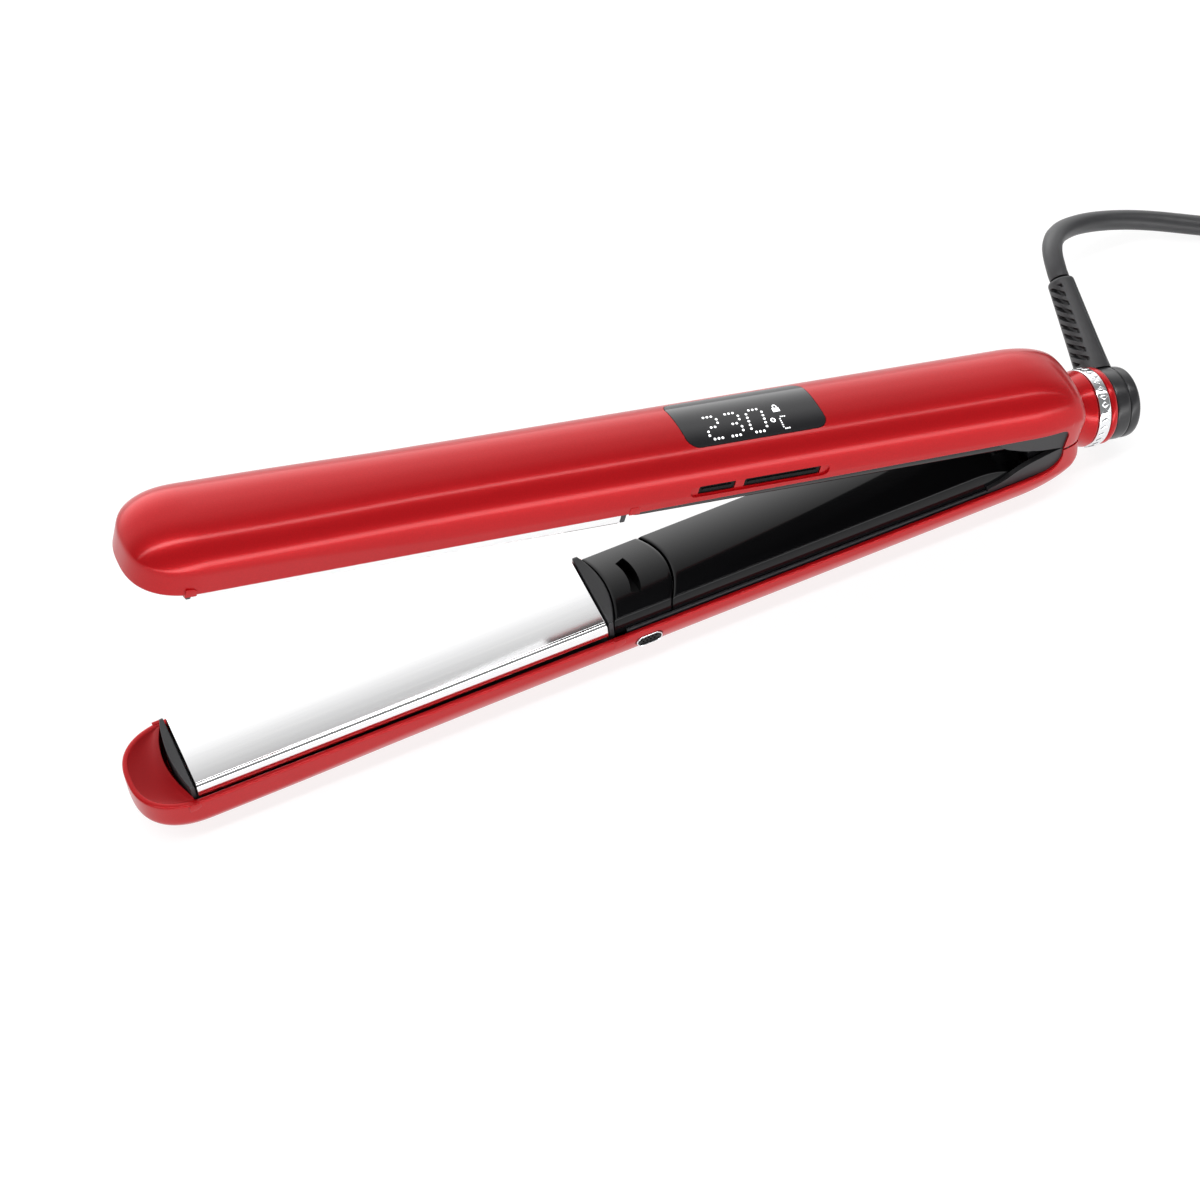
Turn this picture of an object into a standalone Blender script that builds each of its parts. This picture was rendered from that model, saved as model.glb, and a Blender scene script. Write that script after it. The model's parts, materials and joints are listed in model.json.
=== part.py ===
"""Two-arm hair straightener, open on a table, with its mains lead wound up beside it.

World frame, metres: the origin is on the table under the middle of the lower plate, +X runs
back to the hinge and the lead, +Y is the far side, +Z is up. Both arms are drawn closed, as
mirror images about the plane where the plates meet, and the upper arm is then swung open
about the hinge. Lengths below are millimetres, and depth is measured outwards from the
plane where the plates meet.
"""
import math

import bmesh
import bpy
from mathutils import Matrix, Vector

MM = 0.001

# Driving dimensions
PLATE_WIDTH = 25.0
PLATE_LENGTH = 114.0
PLATE_PLANE_HEIGHT = 19.3
ARM_WIDTH = 28.8
OPEN_ANGLE = 17.2
HINGE_X = 186.0
CORD_DIAMETER = 5.6
GAP = 0.3

# Arm shell
NOSE_X = -72.0
NOSE_START_X = -54.0
TAIL_START_X = 176.0
TAIL_END_X = 196.0
SHELL_DEPTH = 19.3
SHELL_WALL = 1.7
SECTION_POWER = 2.58
NOSE_POWER = 2.5
CROWN_FACETS = 11
TAIL_HALF_WIDTH = 10.4
TAIL_DEPTH = 10.6
EDGE_DEPTH_FRONT = 4.5
EDGE_SLOPE = 0.0123
MOUTH_END_X = 188.5
CAVITY_START_X = -64.0
CAVITY_END_X = 192.5

# Plates and what carries them
PLATE_TOP_GAP = 0.2
PLATE_FLANGE_DEPTH = 4.2
PLATE_TRAVEL = 1.0
HEATER_SIZE = (100.0, 15.0, 2.2)
BED_DEPTH = 8.4

# Covers between the plates and the hinge
COVER_HALF_WIDTH = 11.5
COVER_CROWN = 1.9
COVER_SKIRT = 1.0
OUTLET_REAR_X = 75.0
OUTLET_BOW = 4.0
SLOT_CENTRE = (54.0, 0.0)
SLOT_INNER_RADIUS = 13.6
SLOT_OUTER_RADIUS = 16.4
SLOT_REACH = 22.0
VENT_X = 67.2
BAR_BOW = 3.0
BAR_HALF_WIDTH = 12.0
BAR_END_X = 58.5
BARREL_RADIUS = 7.0
LUG_RADIUS = 4.8
PIN_RADIUS = 1.5

# Controls on the upper arm
LENS_FRONT_X = 76.2
LENS_REAR_X = 115.6
LENS_HALF_WIDTH = 8.0
BUTTON_DEPTH = 9.9
BUTTON_HEIGHT = 1.6
BUTTON_PROUD = 0.15
POWER_BUTTON_X = (76.8, 86.4)
ROCKER_X = (89.8, 111.0)

# Neck and cord swivel, turned about the arm's own axis
NECK_RADIUS = 10.2
BAND_RADIUS = 10.5
DRUM_RADIUS = 9.6
SPIGOT_RADIUS = 5.5
SWIVEL_X = 209.2
RELIEF_RISE = 22.0
RELIEF_LENGTH = 26.0

# Lead
COIL_CENTRE = (328.0, 62.0)
COIL_MID_RADIUS = 31.0
COIL_TURNS_WIDE = 3
COIL_HEIGHT = 16.2
LEAD_ROUTE = [
    (212.3, 34.5, 25.8), (213.6, 41.5, 27.2), (217.5, 49.0, 24.8), (225.8, 56.1, 18.6),
    (237.7, 60.0, 11.6), (251.6, 58.9, 6.2), (265.9, 52.0, 3.4), (281.0, 42.0, 2.95),
    (296.0, 32.0, 2.95), (308.0, 24.4, 2.95), (320.6, 20.1, 2.95),
]
PLUG_BODY = (36.0, 26.0, 13.5)
PLUG_PIN_SPACING = 18.6
PLUG_X = 360.0
PLUG_Y = 24.0
PLUG_LIFT = 6.85
PLUG_LEAD_START = (346.2, 24.0, 10.6)


# ---------------------------------------------------------------- materials

def make_material(name, color, roughness, metallic=0.0):
    material = bpy.data.materials.new(name)
    material.use_nodes = True
    shader = material.node_tree.nodes["Principled BSDF"]
    shader.inputs["Base Color"].default_value = (*color, 1.0)
    shader.inputs["Roughness"].default_value = roughness
    shader.inputs["Metallic"].default_value = metallic
    return material


def make_materials():
    return {
        "red": make_material("red_lacquer", (0.50, 0.016, 0.022), 0.32, 0.3),
        "gloss": make_material("gloss_black", (0.012, 0.012, 0.013), 0.08),
        "matte": make_material("matte_black", (0.045, 0.046, 0.048), 0.5),
        "plate": make_material("polished_plate", (0.92, 0.92, 0.93), 0.06, 1.0),
        "chrome": make_material("bright_chrome", (0.85, 0.86, 0.88), 0.08, 1.0),
        "steel": make_material("spring_steel", (0.55, 0.56, 0.58), 0.3, 1.0),
        "board": make_material("circuit_board", (0.02, 0.16, 0.07), 0.5),
        "rubber": make_material("lead_rubber", (0.03, 0.03, 0.032), 0.6),
        "silicone": make_material("silicone", (0.55, 0.28, 0.18), 0.6),
        "ceramic": make_material("heater_ceramic", (0.8, 0.79, 0.74), 0.7),
    }


# ---------------------------------------------------------------- mesh tools

def new_object(name, vertices, faces, material, parent, origin=(0.0, 0.0, 0.0), smooth=True):
    """Closed mesh from millimetre points given in the parent's frame."""
    mesh = bpy.data.meshes.new(name)
    shifted = [tuple((p[i] - origin[i]) * MM for i in range(3)) for p in vertices]
    mesh.from_pydata(shifted, [], faces)
    edit = bmesh.new()
    edit.from_mesh(mesh)
    bmesh.ops.recalc_face_normals(edit, faces=edit.faces)
    edit.to_mesh(mesh)
    edit.free()
    if smooth:
        mesh.shade_smooth()
        mesh.set_sharp_from_angle(angle=math.radians(32))
    mesh.materials.append(material)
    item = bpy.data.objects.new(name, mesh)
    item.location = Vector(origin) * MM
    item.parent = parent
    bpy.context.scene.collection.objects.link(item)
    return item


def add_pivot(name, location, rotation=(0.0, 0.0, 0.0), parent=None):
    pivot = bpy.data.objects.new(name, None)
    pivot.location = Vector(location) * MM
    pivot.rotation_euler = tuple(math.radians(a) for a in rotation)
    pivot.parent = parent
    bpy.context.scene.collection.objects.link(pivot)
    return pivot


def loft(rings):
    """Side faces and end caps through rings of equal length."""
    count = len(rings[0])
    vertices = [point for ring in rings for point in ring]
    faces = []
    for row in range(len(rings) - 1):
        for k in range(count):
            a = row * count + k
            b = row * count + (k + 1) % count
            faces.append((a, b, b + count, a + count))
    faces.append(tuple(range(count)))
    faces.append(tuple(range(len(vertices) - count, len(vertices))))
    return vertices, faces


def prism(outline, low, high, axis):
    """Outline of 2-D points pushed along axis, 0 for X, 1 for Y or 2 for Z."""
    def lift(point, level):
        values = list(point)
        values.insert(axis, level)
        return tuple(values)
    return loft([[lift(p, low) for p in outline], [lift(p, high) for p in outline]])


def box(low, high):
    outline = [(low[0], low[1]), (high[0], low[1]), (high[0], high[1]), (low[0], high[1])]
    return prism(outline, low[2], high[2], 2)


def turned(profile, steps, centre=(0.0, 0.0, 0.0), axis=0):
    """Closed profile of (along, radius) points turned about an axis through centre."""
    rings = []
    for k in range(steps):
        angle = 2 * math.pi * k / steps
        ring = []
        for along, radius in profile:
            values = [radius * math.cos(angle), radius * math.sin(angle)]
            values.insert(axis, along)
            ring.append(tuple(values[i] + centre[i] for i in range(3)))
        rings.append(ring)
    count = len(profile)
    vertices = [point for ring in rings for point in ring]
    faces = []
    for row in range(steps):
        after = (row + 1) % steps
        for k in range(count):
            beyond = (k + 1) % count
            faces.append((row * count + k, row * count + beyond,
                          after * count + beyond, after * count + k))
    return vertices, faces


def rod(profile, steps, centre=(0.0, 0.0, 0.0), axis=0):
    """Solid turned piece: open profile of (along, radius) points, capped at both ends."""
    rings = []
    for along, radius in profile:
        ring = []
        for k in range(steps):
            angle = 2 * math.pi * (k + 0.5) / steps
            values = [radius * math.cos(angle), radius * math.sin(angle)]
            values.insert(axis, along)
            ring.append(tuple(values[i] + centre[i] for i in range(3)))
        rings.append(ring)
    return loft(rings)


def slab(front, rear, half_width, top, bottom, side, columns=6, rows=8):
    """Pillow between curves front(y) and rear(y), from depth top(x, y) to bottom(x, y)."""
    def sheet(level):
        points = []
        for j in range(rows + 1):
            y = half_width * (2 * j / rows - 1)
            for i in range(columns + 1):
                x = front(y) + (rear(y) - front(y)) * i / columns
                points.append((x, y, side * level(x, y)))
        return points
    upper = sheet(top)
    lower = sheet(bottom)
    total = len(upper)
    faces = []
    for j in range(rows):
        for i in range(columns):
            a = j * (columns + 1) + i
            quad = (a, a + 1, a + columns + 2, a + columns + 1)
            faces.append(quad)
            faces.append(tuple(total + v for v in reversed(quad)))
    border = [i for i in range(columns + 1)]
    border += [j * (columns + 1) + columns for j in range(1, rows + 1)]
    border += [rows * (columns + 1) + i for i in range(columns - 1, -1, -1)]
    border += [j * (columns + 1) for j in range(rows - 1, 0, -1)]
    for k, a in enumerate(border):
        b = border[(k + 1) % len(border)]
        faces.append((a, b, total + b, total + a))
    return upper + lower, faces


def arc_points(centre, radius, start, end, steps):
    """Points on a circle from start to end, both in degrees."""
    points = []
    for k in range(steps + 1):
        angle = math.radians(start + (end - start) * k / steps)
        points.append((centre[0] + radius * math.cos(angle), centre[1] + radius * math.sin(angle)))
    return points


def obround(centre, length, width, steps=6):
    """Slot outline with round ends, its length along the first coordinate."""
    reach = (length - width) / 2
    right = arc_points((centre[0] + reach, centre[1]), width / 2, -90, 90, steps)
    left = arc_points((centre[0] - reach, centre[1]), width / 2, 90, 270, steps)
    return right + left


def apply_boolean(target, cutter, operation):
    """Boolean result written to the target's mesh; the cutter is removed."""
    modifier = target.modifiers.new("cut", "BOOLEAN")
    modifier.operation = operation
    modifier.object = cutter
    bpy.context.view_layer.update()
    graph = bpy.context.evaluated_depsgraph_get()
    result = bpy.data.meshes.new_from_object(target.evaluated_get(graph))
    target.modifiers.clear()
    target.data = result
    bpy.data.objects.remove(cutter)
    result.shade_smooth()
    result.set_sharp_from_angle(angle=math.radians(32))


def cut(target, shape):
    vertices, faces = shape
    cutter = new_object("cutter", vertices, faces, target.data.materials[0], target.parent)
    apply_boolean(target, cutter, "DIFFERENCE")


def keep_common(target, shape):
    vertices, faces = shape
    cutter = new_object("cutter", vertices, faces, target.data.materials[0], target.parent)
    apply_boolean(target, cutter, "INTERSECT")


# ---------------------------------------------------------------- arm shape

def edge_depth(x):
    """Depth of the shell's side edge below the plane where the plates meet."""
    return EDGE_DEPTH_FRONT + EDGE_SLOPE * (x + PLATE_LENGTH / 2)


def wall_depth(x):
    """Depth at which the upright side wall turns into the rounded shoulder."""
    return 8.0 + 0.0055 * (x + PLATE_LENGTH / 2)


def arm_stations(inset, first_x, last_x):
    """Stations of (x, half width, crown depth) along the arm, moved inwards by inset."""
    half = ARM_WIDTH / 2
    stations = []
    for turn in (87.0, 80.0, 70.0, 58.0, 44.0, 28.0, 12.0):
        share = math.sin(math.radians(turn)) ** (2 / NOSE_POWER)
        narrow = math.cos(math.radians(turn)) ** (2 / NOSE_POWER)
        x = NOSE_START_X - (NOSE_START_X - NOSE_X) * share
        shallow = 1.0 - 0.34 * share ** 4
        stations.append((x, half * narrow, SHELL_DEPTH * shallow))
    for x in (NOSE_START_X, -10.0, 40.0, 90.0, 140.0, TAIL_START_X):
        stations.append((x, half, SHELL_DEPTH))
    for share in (0.3, 0.55, 0.75, 0.88, 0.96, 1.0):
        drop = math.sqrt(max(0.0, 1.0 - share * share))
        x = TAIL_START_X + (TAIL_END_X - TAIL_START_X) * share
        width = TAIL_HALF_WIDTH + (half - TAIL_HALF_WIDTH) * drop
        depth = TAIL_DEPTH + (SHELL_DEPTH - TAIL_DEPTH) * drop
        stations.append((x, width, depth))
    kept = [s for s in stations if first_x <= s[0] <= last_x]
    return [(x, width - inset, depth - inset) for x, width, depth in kept]


def arm_section(x, half_width, crown, start_depth, side):
    """Ring of points: upright walls and a superelliptic crown with one flat middle facet."""
    wall = min(wall_depth(x), crown * 0.62)
    power = 2 / SECTION_POWER
    middle = math.sin(math.radians(90 - 90 / CROWN_FACETS)) ** power
    ring = [(x, -half_width, side * start_depth)]
    for k in range(CROWN_FACETS + 1):
        angle = math.pi * k / CROWN_FACETS
        across = math.copysign(abs(math.cos(angle)) ** power, -math.cos(angle))
        down = min(1.0, abs(math.sin(angle)) ** power / middle)
        ring.append((x, half_width * across, side * (wall + (crown - wall) * down)))
    ring.append((x, half_width, side * start_depth))
    return ring


def arm_loft(inset, start_depth, side, first_x=NOSE_X - 1, last_x=TAIL_END_X + 1):
    stations = arm_stations(inset, first_x, last_x)
    return loft([arm_section(x, w, t, start_depth, side) for x, w, t in stations])


def shell_solid(name, side, material, parent):
    """Hollow arm shell: outer form, less its cavity, less the long mouth along its edge."""
    shell = new_object(name, *arm_loft(0.0, 0.0, side), material, parent)
    cut(shell, arm_loft(SHELL_WALL, -3.0, side, CAVITY_START_X, CAVITY_END_X))
    corner = 2.5
    front = NOSE_X - 5
    end_depth = edge_depth(MOUTH_END_X)
    mouth = [(front, -5.0), (front, edge_depth(front)), (MOUTH_END_X - corner, end_depth)]
    mouth += arc_points((MOUTH_END_X - corner, end_depth - corner), corner, 67.5, 0, 3)
    mouth += [(MOUTH_END_X, -5.0)]
    outline = [(x, side * depth) for x, depth in mouth]
    cut(shell, prism(outline, -30.0, 30.0, 1))
    return shell


# ---------------------------------------------------------------- pieces both arms share

def make_plate_group(prefix, side, arm, plate_pivot, mats):
    """Heated plate with folded flanges, its heater and cushions, and the bed below them."""
    half = PLATE_WIDTH / 2
    reach = PLATE_LENGTH / 2 - GAP
    skin = 1.1
    low = PLATE_FLANGE_DEPTH
    top = PLATE_TOP_GAP
    under = top + 2.2
    outer = [(-half + 0.1, low), (-half + 0.1, top + 0.5), (-half + 0.25, top + 0.15),
             (-half + 0.6, top)]
    outer += [(-y, d) for y, d in reversed(outer)]
    inner = [(half - skin, low), (half - skin, under), (skin - half, under), (skin - half, low)]
    outline = [(y, side * d) for y, d in outer + inner]
    new_object(prefix + "_plate", *prism(outline, -reach, reach, 0), mats["plate"], plate_pivot)

    heater_top = under + GAP
    length, width, thick = HEATER_SIZE
    slots = sorted([side * heater_top, side * (heater_top + thick)])
    shape = box((-length / 2, -width / 2, slots[0]), (length / 2, width / 2, slots[1]))
    new_object(prefix + "_heater", *shape, mats["ceramic"], plate_pivot)
    cushion_top = heater_top + thick + GAP
    ends = sorted([side * cushion_top, side * (BED_DEPTH - PLATE_TRAVEL - 0.4)])
    for number, x in enumerate((-36.0, 36.0), 1):
        shape = box((x - 6, -5, ends[0]), (x + 6, 5, ends[1]))
        new_object(f"{prefix}_cushion_{number}", *shape, mats["silicone"], plate_pivot)

    bed = slab(lambda y: -reach - 0.2, lambda y: reach + 0.2, 12.2,
               lambda x, y: BED_DEPTH, lambda x, y: BED_DEPTH + 1.4, side, 1, 1)
    new_object(prefix + "_plate_bed", *bed, mats["matte"], arm, smooth=False)


def bar_curve(x, outward):
    """Bowed outer side of an end bar."""
    def curve(y):
        return x + outward * BAR_BOW * (1 - (y / BAR_HALF_WIDTH) ** 2)
    return curve


def make_end_bars(prefix, side, arm, mats):
    """Bars with one bowed side that close the gap at each end of a plate."""
    straight = PLATE_LENGTH / 2 + 0.3
    for label, outward in (("front", -1), ("rear", 1)):
        inner = lambda y, at=outward * straight: at
        outer = bar_curve(outward * BAR_END_X, outward)
        first, last = (outer, inner) if outward < 0 else (inner, outer)
        shape = slab(first, last, BAR_HALF_WIDTH, lambda x, y: 0.4,
                     lambda x, y: BED_DEPTH - 0.1, side, 1, 8)
        new_object(f"{prefix}_{label}_bar", *shape, mats["matte"], arm)


def cover_top(x, y):
    """Depth of a black cover's crowned face."""
    share = min(1.0, abs(y) / COVER_HALF_WIDTH)
    return edge_depth(x) - 0.2 - COVER_CROWN * (1 - share ** 3.2)


def cover_bottom(x, y):
    return edge_depth(x) + COVER_SKIRT


def bowed(x, bow):
    def curve(y):
        return x + bow * (1 - (y / COVER_HALF_WIDTH) ** 2)
    return curve


def saddle_cut():
    """Clearance round the hinge barrels."""
    return rod([(-15.0, BARREL_RADIUS + 0.4), (15.0, BARREL_RADIUS + 0.4)], 40,
               centre=(HINGE_X, 0.0, 0.0), axis=1)


def make_liner(prefix, side, arm, mats):
    """Dark lip that runs along both sides of the covers, with a ledge that carries them."""
    start = BAR_END_X + BAR_BOW + 0.5
    end = 174.0
    outline = [(-12.5, -0.55), (-11.8, -0.55), (-11.8, 1.3), (11.8, 1.3), (11.8, -0.55),
               (12.5, -0.55), (12.5, 1.6), (12.1, 2.0), (-12.1, 2.0), (-12.5, 1.6)]
    rings = []
    for x in (start, end):
        rings.append([(x, y, side * (edge_depth(x) + depth)) for y, depth in outline])
    new_object(prefix + "_liner", *loft(rings), mats["matte"], arm, smooth=False)


# ---------------------------------------------------------------- lower arm

def make_lower_arm(arm, plate_pivot, mats):
    side = -1
    shell = shell_solid("lower_shell", side, mats["red"], arm)
    # Behind the hinge the shell stops at a plane that lets the arm open.
    slope = math.tan(math.radians(OPEN_ANGLE))
    relief = [(MOUTH_END_X - 1, 5.0), (MOUTH_END_X - 1, -(MOUTH_END_X - 1 - HINGE_X) * slope - 0.2),
              (TAIL_END_X + 4, -(TAIL_END_X + 4 - HINGE_X) * slope - 0.2), (TAIL_END_X + 4, 5.0)]
    cut(shell, prism(relief, -30.0, 30.0, 1))
    cut(shell, neck_clearance())
    cut(shell, prism(vent_outline(8.0, 4.2), -16.0, -10.0, 1))

    make_plate_group("lower", side, arm, plate_pivot, mats)
    make_end_bars("lower", side, arm, mats)
    make_liner("lower", side, arm, mats)

    shape = slab(bar_curve(BAR_END_X + GAP, 1), bowed(OUTLET_REAR_X, OUTLET_BOW),
                 COVER_HALF_WIDTH, cover_top, cover_bottom, side, 4, 10)
    outlet = new_object("outlet_cover", *shape, mats["gloss"], arm)
    slot = arc_points(SLOT_CENTRE, SLOT_OUTER_RADIUS, -SLOT_REACH, SLOT_REACH, 6)
    slot += arc_points(SLOT_CENTRE, SLOT_INNER_RADIUS, SLOT_REACH, -SLOT_REACH, 6)
    cut(outlet, prism(slot, -12.0, 0.0, 2))

    shape = slab(bowed(OUTLET_REAR_X + 0.5, OUTLET_BOW), lambda y: HINGE_X - LUG_RADIUS - 1.2,
                 COVER_HALF_WIDTH, cover_top, cover_bottom, side, 8, 10)
    cover = new_object("lower_cover", *shape, mats["gloss"], arm)
    cut(cover, saddle_cut())

    lug = arc_points((HINGE_X, 0.0), LUG_RADIUS, -30, 180, 12)
    lug += [(HINGE_X - LUG_RADIUS, -14.5), (HINGE_X, -14.5)]
    knuckle = new_object("lower_knuckle", *prism(lug, -3.9, 0.4, 1), mats["matte"], arm)
    cut(knuckle, pin_hole())

    shape = prism(vent_outline(7.4, 3.6), -14.9, -13.2, 1)
    bezel = new_object("vent_bezel", *shape, mats["chrome"], arm)
    cut(bezel, prism(vent_outline(6.2, 2.4), -17.0, -11.0, 1))
    shape = prism(vent_outline(5.6, 1.8), -14.5, -13.4, 1)
    new_object("vent_grille", *shape, mats["gloss"], arm)

    shape = box((60.5, -6.0, -15.8), (84.0, 6.0, -11.2))
    new_object("ozone_module", *shape, mats["gloss"], arm, smooth=False)
    fuse = rod([(-10.0, 1.6), (10.0, 1.6)], 10, centre=(100.0, 0.0, -13.0), axis=0)
    new_object("lower_fuse", *fuse, mats["ceramic"], arm)


def vent_outline(length, width):
    return [(x, -depth) for x, depth in obround((VENT_X, BUTTON_DEPTH), length, width)]


def pin_hole():
    radius = PIN_RADIUS + GAP
    return rod([(-16.0, radius), (16.0, radius)], 16, centre=(HINGE_X, 0.0, 0.0), axis=1)


def tilt(shape, degrees):
    """Shape turned about the hinge axis; positive lifts the front."""
    vertices, faces = shape
    turn = Matrix.Rotation(math.radians(degrees), 3, "Y")
    centre = Vector((HINGE_X, 0.0, 0.0))
    return [tuple(turn @ (Vector(v) - centre) + centre) for v in vertices], faces


def neck_clearance():
    """Space that the open upper arm's neck and spigot take out of the lower shell's tail."""
    profile = [(CAVITY_END_X - 2, SPIGOT_RADIUS + 0.4), (TAIL_END_X, SPIGOT_RADIUS + 0.4),
               (TAIL_END_X, NECK_RADIUS + 0.4), (TAIL_END_X + 12, NECK_RADIUS + 0.4)]
    return tilt(rod(profile, 40), OPEN_ANGLE)


# ---------------------------------------------------------------- upper arm

def lens_outline(grow):
    """Rounded four-sided outline, its rear end slanted."""
    corner = 2.6 + grow
    half = LENS_HALF_WIDTH + grow
    front = LENS_FRONT_X - grow
    rear = LENS_REAR_X + grow
    slant = 0.5
    points = arc_points((rear - corner, half - corner), corner, 0, 90, 4)
    points += arc_points((front + corner, half - corner), corner, 90, 180, 4)
    points += arc_points((front + corner, corner - half), corner, 180, 270, 4)
    points += arc_points((rear - corner, corner - half), corner, 270, 360, 4)
    return [(x - slant * y / half, y) for x, y in points]


def button_cut(span, grow):
    low = BUTTON_DEPTH - BUTTON_HEIGHT / 2 - grow
    high = BUTTON_DEPTH + BUTTON_HEIGHT / 2 + grow
    return [(span[0] - grow, low), (span[1] + grow, low),
            (span[1] + grow, high), (span[0] - grow, high)]


def make_upper_arm(arm, plate_pivot, power_pivot, rocker_pivot, mats):
    side = 1
    shell = shell_solid("upper_shell", side, mats["red"], arm)
    cut(shell, prism([(MOUTH_END_X - 1, -1.0), (TAIL_END_X + 2, -1.0), (TAIL_END_X + 2, 0.2),
                      (MOUTH_END_X - 1, 0.2)], -30.0, 30.0, 1))
    hole = SPIGOT_RADIUS + GAP
    cut(shell, rod([(CAVITY_END_X - 2, hole), (TAIL_END_X + 2, hole)], 32))
    lens = new_object("display_lens", *arm_loft(0.0, 0.0, side), mats["gloss"], arm)
    keep_common(lens, prism(lens_outline(-GAP), SHELL_DEPTH - 2.6, SHELL_DEPTH + 2, 2))
    cut(shell, prism(lens_outline(0.0), SHELL_DEPTH - 6, SHELL_DEPTH + 4, 2))
    recess = obround((94.0, BUTTON_DEPTH), 40.0, 3.6)
    cut(shell, prism(recess, -16.0, -ARM_WIDTH / 2 + 0.5, 1))
    for span in (POWER_BUTTON_X, ROCKER_X):
        cut(shell, prism(button_cut(span, GAP), -18.0, -10.0, 1))

    face = -ARM_WIDTH / 2 + 0.5 - BUTTON_PROUD
    power = prism(button_cut(POWER_BUTTON_X, 0.0), face, face + 4.5, 1)
    new_object("power_button", *power, mats["gloss"], power_pivot, smooth=False)
    middle = sum(ROCKER_X) / 2
    rocker = prism(button_cut((ROCKER_X[0] + 0.1, ROCKER_X[1] - 0.1), 0.0), face, face + 3.0, 1)
    vertices = [(x - middle, y - face - 1.5, z - BUTTON_DEPTH) for x, y, z in rocker[0]]
    new_object("temperature_rocker", vertices, rocker[1], mats["gloss"], rocker_pivot, smooth=False)

    make_plate_group("upper", side, arm, plate_pivot, mats)
    make_end_bars("upper", side, arm, mats)
    make_liner("upper", side, arm, mats)
    shape = slab(bar_curve(BAR_END_X + GAP, 1), lambda y: HINGE_X - BARREL_RADIUS - 1.0,
                 COVER_HALF_WIDTH, cover_top, cover_bottom, side, 10, 10)
    new_object("upper_cover", *shape, mats["gloss"], arm)

    make_board("display_board", (74.0, 118.0), (-7.5, 7.5), (15.0, 16.2), arm, mats)
    make_board("control_board", (60.0, 172.0), (-8.0, 8.6), (12.8, 13.9), arm, mats)
    fuse = rod([(-10.0, 1.6), (10.0, 1.6)], 10, centre=(140.0, 2.0, 11.0), axis=0)
    new_object("upper_fuse", *fuse, mats["ceramic"], arm)


def make_board(name, along, across, depths, arm, mats):
    shape = box((along[0], across[0], depths[0]), (along[1], across[1], depths[1]))
    new_object(name, *shape, mats["board"], arm, smooth=False)


def make_hinge(arm, mats):
    """Barrels of the upper arm on both sides of the lower arm's lug, with pin and spring."""
    corner = HINGE_X + 4.95
    top = 7.3
    curve = arc_points((HINGE_X, 0.0), BARREL_RADIUS, 180, 315, 14)
    outline = [(HINGE_X - BARREL_RADIUS, top)] + curve + [(corner, top)]
    for label, low, high in (("near", -10.9, -4.3), ("far", 4.3, 10.9)):
        shape = prism(outline, low, high, 1)
        barrel = new_object(f"hinge_barrel_{label}", *shape, mats["gloss"], arm)
        cut(barrel, pin_hole())
    pin = rod([(-10.7, PIN_RADIUS), (10.7, PIN_RADIUS)], 14, centre=(HINGE_X, 0.0, 0.0), axis=1)
    new_object("hinge_pin", *pin, mats["steel"], arm)
    ring = [(0.9, 2.4), (3.8, 2.4), (3.8, 3.4), (0.9, 3.4)]
    spring = turned(ring, 20, centre=(HINGE_X, 0.0, 0.0), axis=1)
    new_object("torsion_spring", *spring, mats["steel"], arm)


# ---------------------------------------------------------------- neck, swivel and lead

def make_neck(arm, mats):
    bore = 4.3
    neck = [(191.4, bore), (191.4, SPIGOT_RADIUS), (TAIL_END_X + GAP, SPIGOT_RADIUS),
            (TAIL_END_X + GAP, NECK_RADIUS), (200.4, NECK_RADIUS), (200.4, 7.0), (206.9, 7.0),
            (206.9, bore)]
    new_object("neck", *turned(neck, 40), mats["red"], arm)
    band = [(200.7, 7.3), (200.7, BAND_RADIUS), (204.5, BAND_RADIUS), (204.5, 7.3)]
    new_object("chrome_band", *turned(band, 40), mats["chrome"], arm)
    ring = [(204.8, 7.3), (204.8, 10.3), (206.6, 10.3), (206.9, 9.9), (206.9, 7.3)]
    new_object("neck_ring", *turned(ring, 40), mats["red"], arm)


def make_swivel(swivel_pivot, mats):
    """Drum that turns about the neck's axis; points are given about the swivel's own pivot."""
    drum = [(197.0, 3.9), (207.25, 3.9), (207.25, DRUM_RADIUS), (211.2, DRUM_RADIUS)]
    shape = rod([(x - SWIVEL_X, r) for x, r in drum], 40)
    new_object("swivel_drum", *shape, mats["matte"], swivel_pivot)
    cap = [(211.5, DRUM_RADIUS - 0.05), (214.2, DRUM_RADIUS - 0.05), (214.9, DRUM_RADIUS - 0.7)]
    shape = rod([(x - SWIVEL_X, r) for x, r in cap], 40)
    new_object("swivel_end_cap", *shape, mats["matte"], swivel_pivot)
    relief = [(9.9, 1.9), (10.9, 1.9), (11.1, 4.3), (10.9 + RELIEF_LENGTH, 3.4)]
    vertices, faces = rod(relief, 20, axis=2)
    turn = Matrix.Rotation(math.radians(-(90 - RELIEF_RISE)), 3, "X")
    placed = [tuple(turn @ Vector(v)) for v in vertices]
    new_object("strain_relief", placed, faces, mats["rubber"], swivel_pivot)


def smooth_route(points, steps):
    """Catmull-Rom points through the route's own points."""
    route = [Vector(p) for p in points]
    route = [2 * route[0] - route[1]] + route + [2 * route[-1] - route[-2]]
    result = []
    for k in range(1, len(route) - 2):
        a, b, c, d = route[k - 1:k + 3]
        for step in range(steps):
            t = step / steps
            result.append(0.5 * (2 * b + (c - a) * t + (2 * a - 5 * b + 4 * c - d) * t * t
                                 + (3 * b - 3 * c + d - a) * t ** 3))
    result.append(route[-2])
    return result


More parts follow.
